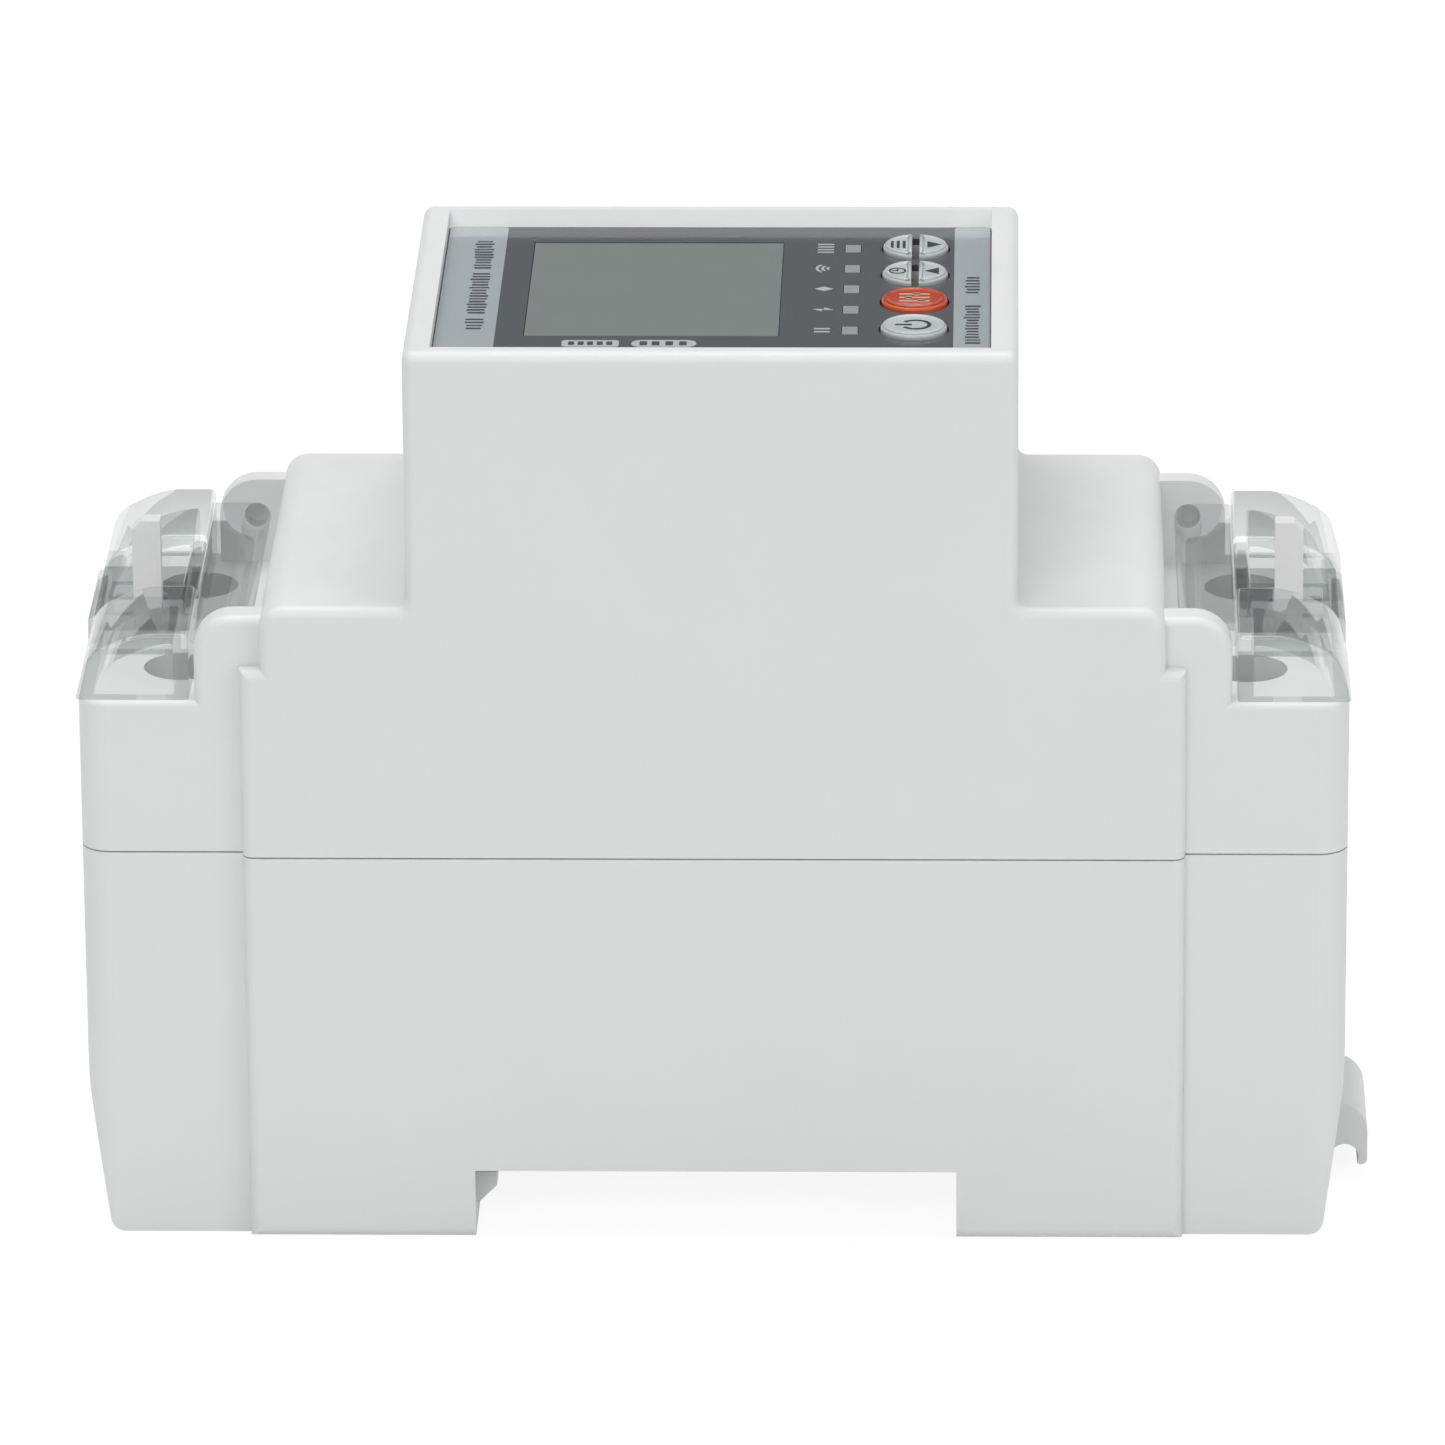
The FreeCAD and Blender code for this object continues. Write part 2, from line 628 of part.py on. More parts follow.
def terminal_cover():
    """Clear cover of the load end: two hollow humps, a valley, and a tongue between the ears."""
    half = END_HALF_WIDTH - COVER_INSET
    inner = HINGE_X + EAR_RADIUS + COVER_EAR_GAP
    valley_top = DECK_Z + VALLEY_HEIGHT
    hump = prism(cover_profile(0), (VALLEY_HALF, half))
    hump = hump.cut(
        prism(cover_profile(COVER_WALL), (VALLEY_HALF + COVER_WALL, half - COVER_WALL))
    )
    low = box((0, 60), (-VALLEY_HALF, VALLEY_HALF), (0, valley_top))
    low_inside = box((0, 60), (-VALLEY_HALF, VALLEY_HALF), (0, valley_top - COVER_WALL))
    valley = prism(cover_profile(0), (-VALLEY_HALF, VALLEY_HALF)).common(low)
    valley = valley.cut(
        prism(cover_profile(COVER_WALL), (-VALLEY_HALF, VALLEY_HALF)).common(low_inside)
    )
    tongue_top = HINGE_Z + KNUCKLE_RADIUS
    knuckle_half = EAR_INNER_Y - COVER_GAP
    tongue = box(
        (HINGE_X, inner + COVER_WALL),
        (-knuckle_half, knuckle_half),
        (tongue_top - TONGUE_THICKNESS, tongue_top),
    )
    pin_half = EAR_INNER_Y + HINGE_PIN_LENGTH
    parts = both_poles(hump) + [
        valley,
        tongue,
        rod(KNUCKLE_RADIUS, (HINGE_X, -knuckle_half, HINGE_Z), (HINGE_X, knuckle_half, HINGE_Z)),
        rod(HINGE_PIN_RADIUS, (HINGE_X, -pin_half, HINGE_Z), (HINGE_X, pin_half, HINGE_Z)),
        box((inner, inner + COVER_WALL), (-VALLEY_HALF, VALLEY_HALF), (valley_top - 1, tongue_top)),
    ]
    slot = box(
        (TAB_X - TAB_LENGTH / 2 - TAB_SLOT_BEFORE, TAB_X + TAB_LENGTH / 2 + TAB_SLOT_BEYOND),
        span(0, TAB_THICKNESS / 2 + TAB_SLOT_SIDE),
        (DECK_Z - 1, DECK_Z + 10),
    )
    return fuse(parts).cut(slot)


# ---------------------------------------------------------------- rail clip
def rail_clip():
    """Sliding clip: a nose under the rail's lip, a plate in the foot and a release tab."""
    tip = RAIL_SLOT_HALF - HOOK_REACH
    tab_inner = CASE_HALF_LENGTH - 0.1
    outer = CASE_HALF_LENGTH + CLIP_TAB_OUT
    low, high = CLIP_Z
    plate = prism(
        [
            (tip, high),
            (tip, low + HOOK_REACH),
            (RAIL_SLOT_HALF, low),
            (tab_inner - 0.7, low),
            (tab_inner - 0.7, high),
        ],
        (-CLIP_HALF_WIDTH, CLIP_HALF_WIDTH),
    )
    tab = prism(
        [
            (tab_inner - 0.8, low),
            (tab_inner - 0.8, high),
            (tab_inner, high),
            (tab_inner - 0.2, CLIP_TAB_TOP),
            (outer - 1.7, CLIP_TAB_TOP),
            (outer, CLIP_TAB_TOP - 2.4, outer - 0.4, CLIP_TAB_TOP - 1.0),
            (outer, low),
            (outer - 0.75, low - CLIP_TAB_LIP + 0.05, outer - 0.25, low - CLIP_TAB_LIP),
            (tab_inner - 0.6, low, outer - 1.9, low + CLIP_TAB_SCOOP),
        ],
        (-CLIP_TAB_HALF_WIDTH, CLIP_TAB_HALF_WIDTH),
    )
    slot = box(
        (STOP_X - SPRING_LENGTH, STOP_X + SPRING_STOP + FIT),
        (-SPRING_SLOT_HALF, SPRING_SLOT_HALF),
        (low - 1, high + 1),
    )
    return fuse([plate.cut(slot), tab])


def clip_spring():
    """Flat serpentine spring between the clip's slot and the stop in the foot."""
    start = STOP_X - SPRING_LENGTH + FIT
    length = SPRING_LENGTH - 2 * FIT
    pitch = (length - SPRING_STRIP) / SPRING_FOLDS
    half = SPRING_SLOT_HALF - CLIP_GAP
    z = (CLIP_Z[0] + CLIP_GAP, CLIP_Z[1] - CLIP_GAP)
    bars = []
    for i in range(SPRING_FOLDS + 1):
        x = start + i * pitch
        bars.append(box((x, x + SPRING_STRIP), (-half, half), z))
    for i in range(SPRING_FOLDS):
        x = start + i * pitch
        edge = (half - SPRING_STRIP, half) if i % 2 else (-half, SPRING_STRIP - half)
        bars.append(box((x, x + pitch + SPRING_STRIP), edge, z))
    return fuse(bars)


# ---------------------------------------------------------------- terminals
def terminal_cage():
    """Open clamping cage at the load end, on the +Y pole, at its lowest."""
    length = span(TERMINAL_X, CAGE_HALF_LENGTH)
    outside = box(length, span(POLE_Y, CAGE_HALF_WIDTH), CAGE_Z)
    inside = box((0, 60), span(POLE_Y, CAGE_HALF_WIDTH - CAGE_WALL), CAGE_INSIDE)
    thread = upright(
        SHANK_RADIUS + THREAD_CLEARANCE, TERMINAL_X, POLE_Y, (CAGE_INSIDE[1] - 1, CAGE_Z[1] + 1)
    )
    return outside.cut([inside, thread])


def terminal_screw():
    """Slotted screw in its well at the load end, on the +Y pole, with its tip on the bar."""
    head_z = (HEAD_TOP - HEAD_HEIGHT, HEAD_TOP)
    head = upright(WELL_RADIUS - HEAD_CLEARANCE, TERMINAL_X, POLE_Y, head_z)
    shank = upright(SHANK_RADIUS, TERMINAL_X, POLE_Y, (BAR_TOP + FIT, head_z[0] + 0.5))
    slots = [
        box(span(TERMINAL_X, 0.45), span(POLE_Y, 2.0), (HEAD_TOP - 1.4, HEAD_TOP + 1)),
        box(span(TERMINAL_X, 2.0), span(POLE_Y, 0.45), (HEAD_TOP - 1.4, HEAD_TOP + 1)),
    ]
    return fuse([head, shank]).cut(slots)


def bar(x, y):
    return box(x, span(y, BAR_HALF_WIDTH), (BAR_BOTTOM, BAR_TOP))


def line_bar(x, contact_x):
    """Line bar, with its fixed relay contact riveted on."""
    contact = upright(CONTACT_RADIUS, contact_x, -POLE_Y, (BAR_TOP, CONTACT_TOP))
    return fuse([bar(x, -POLE_Y), contact])


# ---------------------------------------------------------------- keys and display
def half_side(shape, half):
    """Keeps one half of a split key, or all of a whole one."""
    if half == 0:
        return shape
    inner = KEY_X + half * KEY_SPLIT_HALF
    x = (inner, inner + 10) if half > 0 else (inner - 10, inner)
    return shape.common(box(x, (-30, 30), (0, 80)))


def switch_x(half):
    return KEY_X + half * (KEY_SPLIT_HALF + KEY_RADIUS / 2)


def key(y, half):
    """Key cap with its flange under the panel and a stem down to its switch."""
    flange_top = ROOF_UNDERSIDE - FIT
    flange_bottom = flange_top - FLANGE_THICKNESS
    cap = upright(KEY_RADIUS, KEY_X, y, (flange_bottom, KEY_TOP))
    rim = [e for e in cap.Edges if e.BoundBox.ZMin > KEY_TOP - 1e-6]
    cap = cap.makeFillet(KEY_EDGE_RADIUS, rim)
    flange = upright(KEY_RADIUS + KEY_FLANGE, KEY_X, y, (flange_bottom, flange_top))
    stem = upright(STEM_RADIUS, switch_x(half), y, (PLUNGER_TOP, flange_bottom + 0.2))
    return fuse([half_side(fuse([cap, flange]), half), half_side(stem, half)])


def plunger(y, half):
    return upright(PLUNGER_RADIUS, switch_x(half), y, (SWITCH_TOP - PLUNGER_DEPTH + KEY_TRAVEL, PLUNGER_TOP))


def tact_switches():
    bodies = []
    for _, y, half in key_places():
        x = switch_x(half)
        size = HALF_SWITCH_HALF if half else SWITCH_HALF
        body = box(span(x, size[0]), span(y, size[1]), (BOARD_TOP, SWITCH_TOP))
        hole_z = (SWITCH_TOP - PLUNGER_DEPTH - FIT, SWITCH_TOP + 1)
        bodies.append(body.cut(upright(PLUNGER_RADIUS + FIT, x, y, hole_z)))
    return bodies


def front_label():
    """Printed label plate, sunk in the rim and open at the window, keys and lamps."""
    plate = rounded_plan(
        (-LABEL_HALF[0] + LABEL_CLEARANCE, LABEL_HALF[0] - LABEL_CLEARANCE),
        (-LABEL_HALF[1] + LABEL_CLEARANCE, LABEL_HALF[1] - LABEL_CLEARANCE),
        (PANEL_Z, LABEL_TOP),
        LABEL_CORNER - LABEL_CLEARANCE,
    )
    return plate.cut(panel_openings((PANEL_Z - 1, LABEL_TOP + 1), FIT))


def light_pipes():
    pipes = []
    foot_z = (ROOF_UNDERSIDE - PIPE_FOOT_HEIGHT, ROOF_UNDERSIDE)
    for y in led_places():
        stem_z = (BOARD_TOP + LED_BODY[2] + 0.2, LABEL_TOP)
        stem = box(span(LED_X, LED_HALF[0]), span(y, LED_HALF[1]), stem_z)
        foot = box(
            span(LED_X, LED_HALF[0] + PIPE_FOOT), span(y, LED_HALF[1] + PIPE_FOOT), foot_z
        )
        pipes.append(fuse([stem, foot]))
    return pipes


def display_layer(margin, z):
    return box(
        span(WINDOW_CENTRE[0], WINDOW_HALF[0] + margin),
        span(WINDOW_CENTRE[1], WINDOW_HALF[1] + margin),
        z,
    )


def circuit_board(half, top, holes):
    """A board between four screws."""
    body = box((-half[0], half[0]), (-half[1], half[1]), (top - BOARD_THICKNESS, top))
    z = (top - BOARD_THICKNESS - 1, top + 1)
    return body.cut([upright(SCREW_RADIUS + FIT, sx * holes[0], sy * holes[1], z) for sx, sy in FOUR_WAYS])


def board_screws(holes, seat, direction):
    """Four pan-head screws. Direction is +1 for a head below the board, -1 for one above."""
    screws = []
    for sx, sy in FOUR_WAYS:
        x, y = sx * holes[0], sy * holes[1]
        head = sorted([seat, seat - direction * SCREW_HEAD_HEIGHT])
        shank = sorted([seat - direction * 0.5, seat + direction * (SCREW_LENGTH + BOARD_THICKNESS - 0.6)])
        screws.append(
            fuse([upright(SCREW_HEAD_RADIUS, x, y, head), upright(SCREW_RADIUS, x, y, shank)])
        )
    return screws


def board_header():
    """Two header strips, and the pins that join the boards."""
    x = TOWER_INNER_HALF - 3.0
    bottom, top = MAIN_BOARD_TOP, BOARD_TOP - BOARD_THICKNESS
    strips = [
        box(span(x, 1.2), (-7.0, 5.0), (bottom, bottom + 2.5)),
        box(span(x, 1.2), (-7.0, 5.0), (top - 2.5, top)),
    ]
    pins = [upright(0.35, x, -6.0 + 2.5 * i, (bottom + 1, top - 1)) for i in range(5)]
    return fuse(strips + pins)


# ---------------------------------------------------------------- relay
def relay_case():
    outside = box(RELAY_X, RELAY_Y, RELAY_Z)
    inside = box(
        (RELAY_X[0] + RELAY_WALL, RELAY_X[1] - RELAY_WALL),
        (RELAY_Y[0] + RELAY_WALL, RELAY_Y[1] - RELAY_WALL),
        (RELAY_Z[0] + RELAY_WALL, RELAY_Z[1] + 1),
    )
    bars = box(
        (-30, 30),
        span(-POLE_Y, BAR_HALF_WIDTH + FIT),
        (BAR_BOTTOM - FIT, BAR_TOP + FIT),
    )
    return outside.cut([inside, bars])


def relay_coil():
    """Winding, end flanges and iron core, lying along X under the bars."""
    def piece(radius, x):
        return rod(radius, (x[0], -POLE_Y, COIL_Z), (x[1], -POLE_Y, COIL_Z))

    start, end = COIL_X
    return fuse([
        piece(COIL_RADIUS, COIL_X),
        piece(FLANGE_RADIUS, (start, start + 1)),
        piece(FLANGE_RADIUS, (end - 1, end)),
        piece(CORE_RADIUS, (start, end + 0.4)),
    ])


def armature_pivot_x():
    return COIL_X[1] + 0.4 + ARMATURE_GAP + ARMATURE_THICKNESS / 2


def relay_armature():
    """Hinged iron plate at the coil's end, with an arm that reaches over to the pusher."""
    x = armature_pivot_x()
    plate_x = span(x, ARMATURE_THICKNESS / 2)
    arm_z = BRIDGE_Z + BRIDGE_THICKNESS + PUSHER_HEIGHT / 2
    side_y = (-POLE_Y - BAR_HALF_WIDTH, ARM_Y[1])
    tip_x = sum(PUSHER_X) / 2
    return fuse([
        box(plate_x, side_y, (ARMATURE_PIVOT_Z, BAR_BOTTOM - 0.6)),
        box(plate_x, ARM_Y, (ARMATURE_PIVOT_Z, arm_z + ARM_THICKNESS / 2)),
        box((tip_x + 1.5, plate_x[1]), ARM_Y, span(arm_z, ARM_THICKNESS / 2)),
        box((tip_x - 0.6, tip_x + 2), ARM_Y, span(arm_z, ARM_THICKNESS / 2)),
        rod(ARM_PIN_RADIUS, (tip_x, -POLE_Y, arm_z), (tip_x, ARM_Y[1], arm_z)),
    ])


def relay_pusher():
    """Plastic block that presses the contact bridge down. Its slot takes the armature's pin."""
    z = (BRIDGE_Z + BRIDGE_THICKNESS, BRIDGE_Z + BRIDGE_THICKNESS + PUSHER_HEIGHT)
    block = box(PUSHER_X, span(-POLE_Y, 3.0), z)
    slot_half = ARM_PIN_RADIUS + 0.15
    x = sum(PUSHER_X) / 2
    slot = box((x - 1.7, x + 0.9), (-POLE_Y - 1, 0), span(sum(z) / 2, slot_half))
    return block.cut(slot)


def relay_bridge():
    """Contact bridge over the two fixed contacts."""
    plate = box(
        (CONTACT_X[0] - 2.2, CONTACT_X[1] + 2.2),
        span(-POLE_Y, 2.2),
        (BRIDGE_Z, BRIDGE_Z + BRIDGE_THICKNESS),
    )
    tips = [
        upright(CONTACT_RADIUS, x, -POLE_Y, (BRIDGE_Z - CONTACT_HEIGHT, BRIDGE_Z))
        for x in CONTACT_X
    ]
    return fuse([plate] + tips)


# ---------------------------------------------------------------- other electronics
def current_ring():
    y, z = -POLE_Y, (BAR_TOP + BAR_BOTTOM) / 2
    outside = rod(RING_OUTER, (RING_X[0], y, z), (RING_X[1], y, z))
    inside = rod(RING_INNER, (RING_X[0] - 1, y, z), (RING_X[1] + 1, y, z))
    return outside.cut(inside)


def on_board(x, y, height):
    return box(x, y, (MAIN_BOARD_TOP, MAIN_BOARD_TOP + height))


def transformer():
    core = on_board((1.5, 13.5), (-14.0, -1.0), 13.0)
    windows = [
        box((0.0, 16.0), (-12.5, -10.5), (MAIN_BOARD_TOP + 2, MAIN_BOARD_TOP + 11)),
        box((0.0, 16.0), (-4.5, -2.5), (MAIN_BOARD_TOP + 2, MAIN_BOARD_TOP + 11)),
    ]
    winding = on_board((0.2, 14.8), (-10.5, -4.5), 11.0)
    return fuse([core.cut(windows), winding])


def radio_module():
    board = on_board((3.0, 16.0), (2.0, 14.0), 1.0)
    shield = box((4.0, 13.0), (3.0, 13.0), (MAIN_BOARD_TOP + 1.0, MAIN_BOARD_TOP + 3.4))
    return fuse([board, shield])


def varistor():
    centre = (-26.0, 9.0, MAIN_BOARD_TOP + 6.5)
    disc = rod(5.5, centre, (centre[0] + 4.0, centre[1], centre[2]))
    legs = [
        upright(0.5, centre[0] + 2.0, centre[1] + s * 2.5, (MAIN_BOARD_TOP, centre[2] - 2))
        for s in (-1, 1)
    ]
    return fuse([disc] + legs)


def fuse_link():
    z = MAIN_BOARD_TOP + 2.6
    return fuse([
        rod(2.6, (-27.0, -12.0, z), (-25.0, -12.0, z)),
        rod(2.3, (-26.0, -12.0, z), (-22.0, -12.0, z)),
        rod(2.6, (-23.0, -12.0, z), (-21.0, -12.0, z)),
    ])


# ---------------------------------------------------------------- build
def build():
    case = case_outside()
    save("base_housing", base_housing(case))
    save("front_housing", front_housing(case))
    cover = terminal_cover()
    save("load_cover", cover)
    save("supply_cover", mirror_x(cover))
    save("front_label", front_label())
    save("display_window", display_layer(0, (ROOF_UNDERSIDE, LABEL_TOP - FIT)))
    save("light_pipes", *light_pipes())
    for name, y, half in key_places():
        save(name + "_key", key(y, half))
        save(name + "_plunger", plunger(y, half))
    save("tact_switches", *tact_switches())
    glass_top = ROOF_UNDERSIDE - GLASS_GAP
    glass_bottom = glass_top - GLASS_THICKNESS
    save("display_glass", display_layer(GLASS_MARGIN, (glass_bottom, glass_top)))
    save("backlight", display_layer(GLASS_MARGIN - 0.3, (BOARD_TOP, glass_bottom)))
    board_half = (TOWER_INNER_HALF - BOARD_GAP, INNER_HALF_WIDTH - BOARD_GAP)
    save("display_board", circuit_board(board_half, BOARD_TOP, (BOSS_X, BOSS_Y)))
    display_seat = BOARD_TOP - BOARD_THICKNESS
    save("display_board_screws", *board_screws((BOSS_X, BOSS_Y), display_seat, 1))
    leds = [
        box(span(LED_X, LED_BODY[0]), span(y, LED_BODY[1]), (BOARD_TOP, BOARD_TOP + LED_BODY[2]))
        for y in led_places()
    ]
    save("status_leds", *leds)
    save("board_header", board_header())
    main_half = (SHOULDER_INNER_HALF - BOARD_GAP, INNER_HALF_WIDTH - BOARD_GAP)
    save("main_board", circuit_board(main_half, MAIN_BOARD_TOP, (POST_X, POST_Y)))
    save("main_board_screws", *board_screws((POST_X, POST_Y), MAIN_BOARD_TOP, -1))

    bar_end = CHAMBER_X[1] - BAR_END_GAP
    save("neutral_bar", bar((-bar_end, bar_end), POLE_Y))
    save("supply_line_bar", line_bar((-bar_end, CONTACT_X[0] + 2.2), CONTACT_X[0]))
    save("load_line_bar", line_bar((CONTACT_X[1] - 2.2, bar_end), CONTACT_X[1]))
    cage, screw = terminal_cage(), terminal_screw()
    for name, place in [
        ("load_neutral", lambda s: s),
        ("load_line", mirror_y),
        ("supply_neutral", mirror_x),
        ("supply_line", lambda s: mirror_x(mirror_y(s))),
    ]:
        save(name + "_cage", place(cage))
        save(name + "_screw", place(screw))
    save("rail_clip", rail_clip())
    save("clip_spring", clip_spring())

    save("relay_case", relay_case())
    save("relay_coil", relay_coil())
    save("relay_armature", relay_armature())
    save("relay_pusher", relay_pusher())
    save("relay_bridge", relay_bridge())
    save("current_ring", current_ring())
    save("film_capacitor", on_board((-19.0, -2.0), (-14.5, -6.5), 15.0))
    capacitors = [
        upright(5.0, x, 3.5, (MAIN_BOARD_TOP, MAIN_BOARD_TOP + 15.0)) for x in (-16.0, -4.5)
    ]
    save("electrolytic_capacitors", *capacitors)
    save("transformer", transformer())
    save("radio_module", radio_module())
    save("varistor", varistor())
    save("fuse_link", fuse_link())


os.makedirs(OUT, exist_ok=True)
build()
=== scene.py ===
"""Looks of the two-module DIN-rail timer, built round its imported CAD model.

Frame, in metres: the origin is the centre of the rail seat, +Z runs to the front panel,
X runs along the case and Y across it. The supply end is at -X and the load end at +X.
"""
import math

import bpy
import numpy as np
from mathutils import Matrix, Vector


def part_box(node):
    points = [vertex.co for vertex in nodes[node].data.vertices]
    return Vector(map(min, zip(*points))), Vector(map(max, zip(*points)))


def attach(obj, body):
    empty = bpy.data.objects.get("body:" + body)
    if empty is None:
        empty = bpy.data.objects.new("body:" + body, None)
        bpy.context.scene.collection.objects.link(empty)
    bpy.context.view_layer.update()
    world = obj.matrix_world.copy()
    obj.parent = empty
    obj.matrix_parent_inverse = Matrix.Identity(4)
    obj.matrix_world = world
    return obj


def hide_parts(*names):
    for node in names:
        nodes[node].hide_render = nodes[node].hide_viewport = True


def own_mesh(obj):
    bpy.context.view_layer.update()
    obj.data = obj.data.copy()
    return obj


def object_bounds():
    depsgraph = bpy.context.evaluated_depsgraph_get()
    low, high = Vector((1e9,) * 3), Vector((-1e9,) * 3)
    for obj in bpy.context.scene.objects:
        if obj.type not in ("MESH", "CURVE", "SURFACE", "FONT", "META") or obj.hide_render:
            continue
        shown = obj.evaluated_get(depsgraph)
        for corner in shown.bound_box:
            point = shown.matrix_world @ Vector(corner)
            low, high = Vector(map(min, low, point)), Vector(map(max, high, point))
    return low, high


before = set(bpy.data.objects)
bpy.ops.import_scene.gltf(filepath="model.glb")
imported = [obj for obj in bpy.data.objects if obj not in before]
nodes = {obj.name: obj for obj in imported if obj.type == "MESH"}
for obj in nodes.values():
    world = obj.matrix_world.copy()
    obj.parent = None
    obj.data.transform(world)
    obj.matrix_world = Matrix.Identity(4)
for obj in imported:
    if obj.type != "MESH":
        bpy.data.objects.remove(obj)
cad_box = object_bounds()
MM = 0.001


# ---------------------------------------------------------------- camera, light and floor
CAMERA_TARGET = (0.29 * MM, 0.0, 29.14 * MM)
CAMERA_DISTANCE = 858.7 * MM
CAMERA_AZIMUTH = math.radians(1.499)
CAMERA_ELEVATION = math.radians(20.342)
CAMERA_ROLL = math.radians(-0.402)
CAMERA_LENS = 283.889
SENSOR_WIDTH = 36
LAMP_AIM = (0, 0, 0.03)
LAMPS = {
    "front_softbox": ((-0.3, -1.15, 0.8), (0.9, 0.6), 5.15),
    "side_softbox": ((0.95, -0.7, 0.6), (0.6, 0.6), 2.7),
    "top_softbox": ((-0.1, 0.25, 1.25), (1.1, 0.8), 8.3),
}
SURROUND_LIGHT = 0.5
FLOOR_HALF = 4
FLOOR_COLOUR = (0.82, 0.82, 0.82, 1)
FLOOR_SHADOW = 0.16
FLOOR_GLOW = 0.9
WALL_RADIUS, WALL_FOOT, WALL_TOP = 1.7, 0.3, 1.15
WALL_COLOUR = (0.3, 0.31, 0.31, 1)


def set_camera():
    """Places the camera on a sphere about its target, turned a little about its own axis."""
    back = Vector((
        math.sin(CAMERA_AZIMUTH) * math.cos(CAMERA_ELEVATION),
        -math.cos(CAMERA_AZIMUTH) * math.cos(CAMERA_ELEVATION),
        math.sin(CAMERA_ELEVATION),
    ))
    right = Vector((math.cos(CAMERA_AZIMUTH), math.sin(CAMERA_AZIMUTH), 0))
    up = back.cross(right)
    cos, sin = math.cos(CAMERA_ROLL), math.sin(CAMERA_ROLL)
    right, up = cos * right + sin * up, cos * up - sin * right
    turn = Matrix((right, up, back)).transposed().to_4x4()
    data = bpy.data.cameras.new("camera")
    data.lens = CAMERA_LENS
    data.sensor_width = SENSOR_WIDTH
    data.clip_end = 20
    camera = bpy.data.objects.new("camera", data)
    camera.matrix_world = Matrix.Translation(Vector(CAMERA_TARGET) + CAMERA_DISTANCE * back) @ turn
    bpy.context.scene.collection.objects.link(camera)
    bpy.context.scene.camera = camera


def hang_softbox(name, place, size, watts):
    """A rectangular lamp that faces the object; its size is its width and height."""
    data = bpy.data.lights.new(name, "AREA")
    data.shape = "RECTANGLE"
    data.size, data.size_y = size
    data.energy = watts
    lamp = bpy.data.objects.new(name, data)
    facing = (Vector(LAMP_AIM) - Vector(place)).to_track_quat("-Z", "Y")
    lamp.matrix_world = Matrix.Translation(Vector(place)) @ facing.to_matrix().to_4x4()
    bpy.context.scene.collection.objects.link(lamp)


def light_the_set():
    """Soft lamps over and in front of the object, in a white surround."""
    for name, (place, size, watts) in LAMPS.items():
        hang_softbox(name, place, size, watts)
    world = bpy.data.worlds.new("studio")
    bpy.context.scene.world = world
    world.use_nodes = True
    tree = world.node_tree
    tree.nodes["Background"].inputs["Color"].default_value = (1, 1, 1, 1)
    tree.nodes["Background"].inputs["Strength"].default_value = SURROUND_LIGHT
    white = tree.nodes.new("ShaderNodeBackground")
    mix = tree.nodes.new("ShaderNodeMixShader")
    link(tree, seen_directly(tree), mix.inputs[0])
    link(tree, tree.nodes["Background"].outputs[0], mix.inputs[1])
    link(tree, white.outputs[0], mix.inputs[2])
    link(tree, mix.outputs[0], tree.nodes["World Output"].inputs["Surface"])


def seen_directly(tree):
    """One for a camera, glossy or transmission ray that hasn't yet lit a surface, or nought."""
    path = tree.nodes.new("ShaderNodeLightPath")
    value = path.outputs["Is Camera Ray"]
    for name in ("Is Glossy Ray", "Is Transmission Ray"):
        either = tree.nodes.new("ShaderNodeMath")
        either.operation = "MAXIMUM"
        link(tree, value, either.inputs[0])
        link(tree, path.outputs[name], either.inputs[1])
        value = either.outputs[0]
    early = tree.nodes.new("ShaderNodeMath")
    early.operation = "LESS_THAN"
    early.inputs[1].default_value = 0.5
    link(tree, path.outputs["Diffuse Depth"], early.inputs[0])
    both = tree.nodes.new("ShaderNodeMath")
    both.operation = "MULTIPLY"
    link(tree, value, both.inputs[0])
    link(tree, early.outputs[0], both.inputs[1])
    return both.outputs[0]


def stage_sheet(name, points):
    """A grid of points, rows by columns, made a mesh that isn't part of the object."""
    mesh = bpy.data.meshes.new(name)
    mesh.from_pydata(points.reshape(-1, 3), [], grid_faces(*points.shape[:2], False))
    sheet = bpy.data.objects.new(name, mesh)
    bpy.context.scene.collection.objects.link(sheet)
    return sheet


def lay_floor():
    """A flat square at the height of the feet, white to the eye, which keeps the shadow."""
    span = np.linspace(-FLOOR_HALF, FLOOR_HALF, 5)
    x, y = np.meshgrid(span, span)
    floor = stage_sheet("floor", np.stack([x, y, np.full_like(x, cad_box[0][2])], axis=-1))
    material, tree, shader = new_material("studio_floor")
    make_matt(shader, FLOOR_COLOUR)
    catcher = tree.nodes.new("ShaderNodeBsdfDiffuse")
    catcher.inputs["Color"].default_value = (FLOOR_SHADOW, FLOOR_SHADOW, FLOOR_SHADOW, 1)
    glow = tree.nodes.new("ShaderNodeEmission")
    glow.inputs["Strength"].default_value = FLOOR_GLOW
    both = tree.nodes.new("ShaderNodeAddShader")
    link(tree, catcher.outputs[0], both.inputs[0])
    link(tree, glow.outputs[0], both.inputs[1])
    mix = tree.nodes.new("ShaderNodeMixShader")
    link(tree, seen_directly(tree), mix.inputs[0])
    link(tree, shader.outputs[0], mix.inputs[1])
    link(tree, both.outputs[0], mix.inputs[2])
    link(tree, mix.outputs[0], tree.nodes["Material Output"].inputs["Surface"])
    floor.data.materials.append(material)


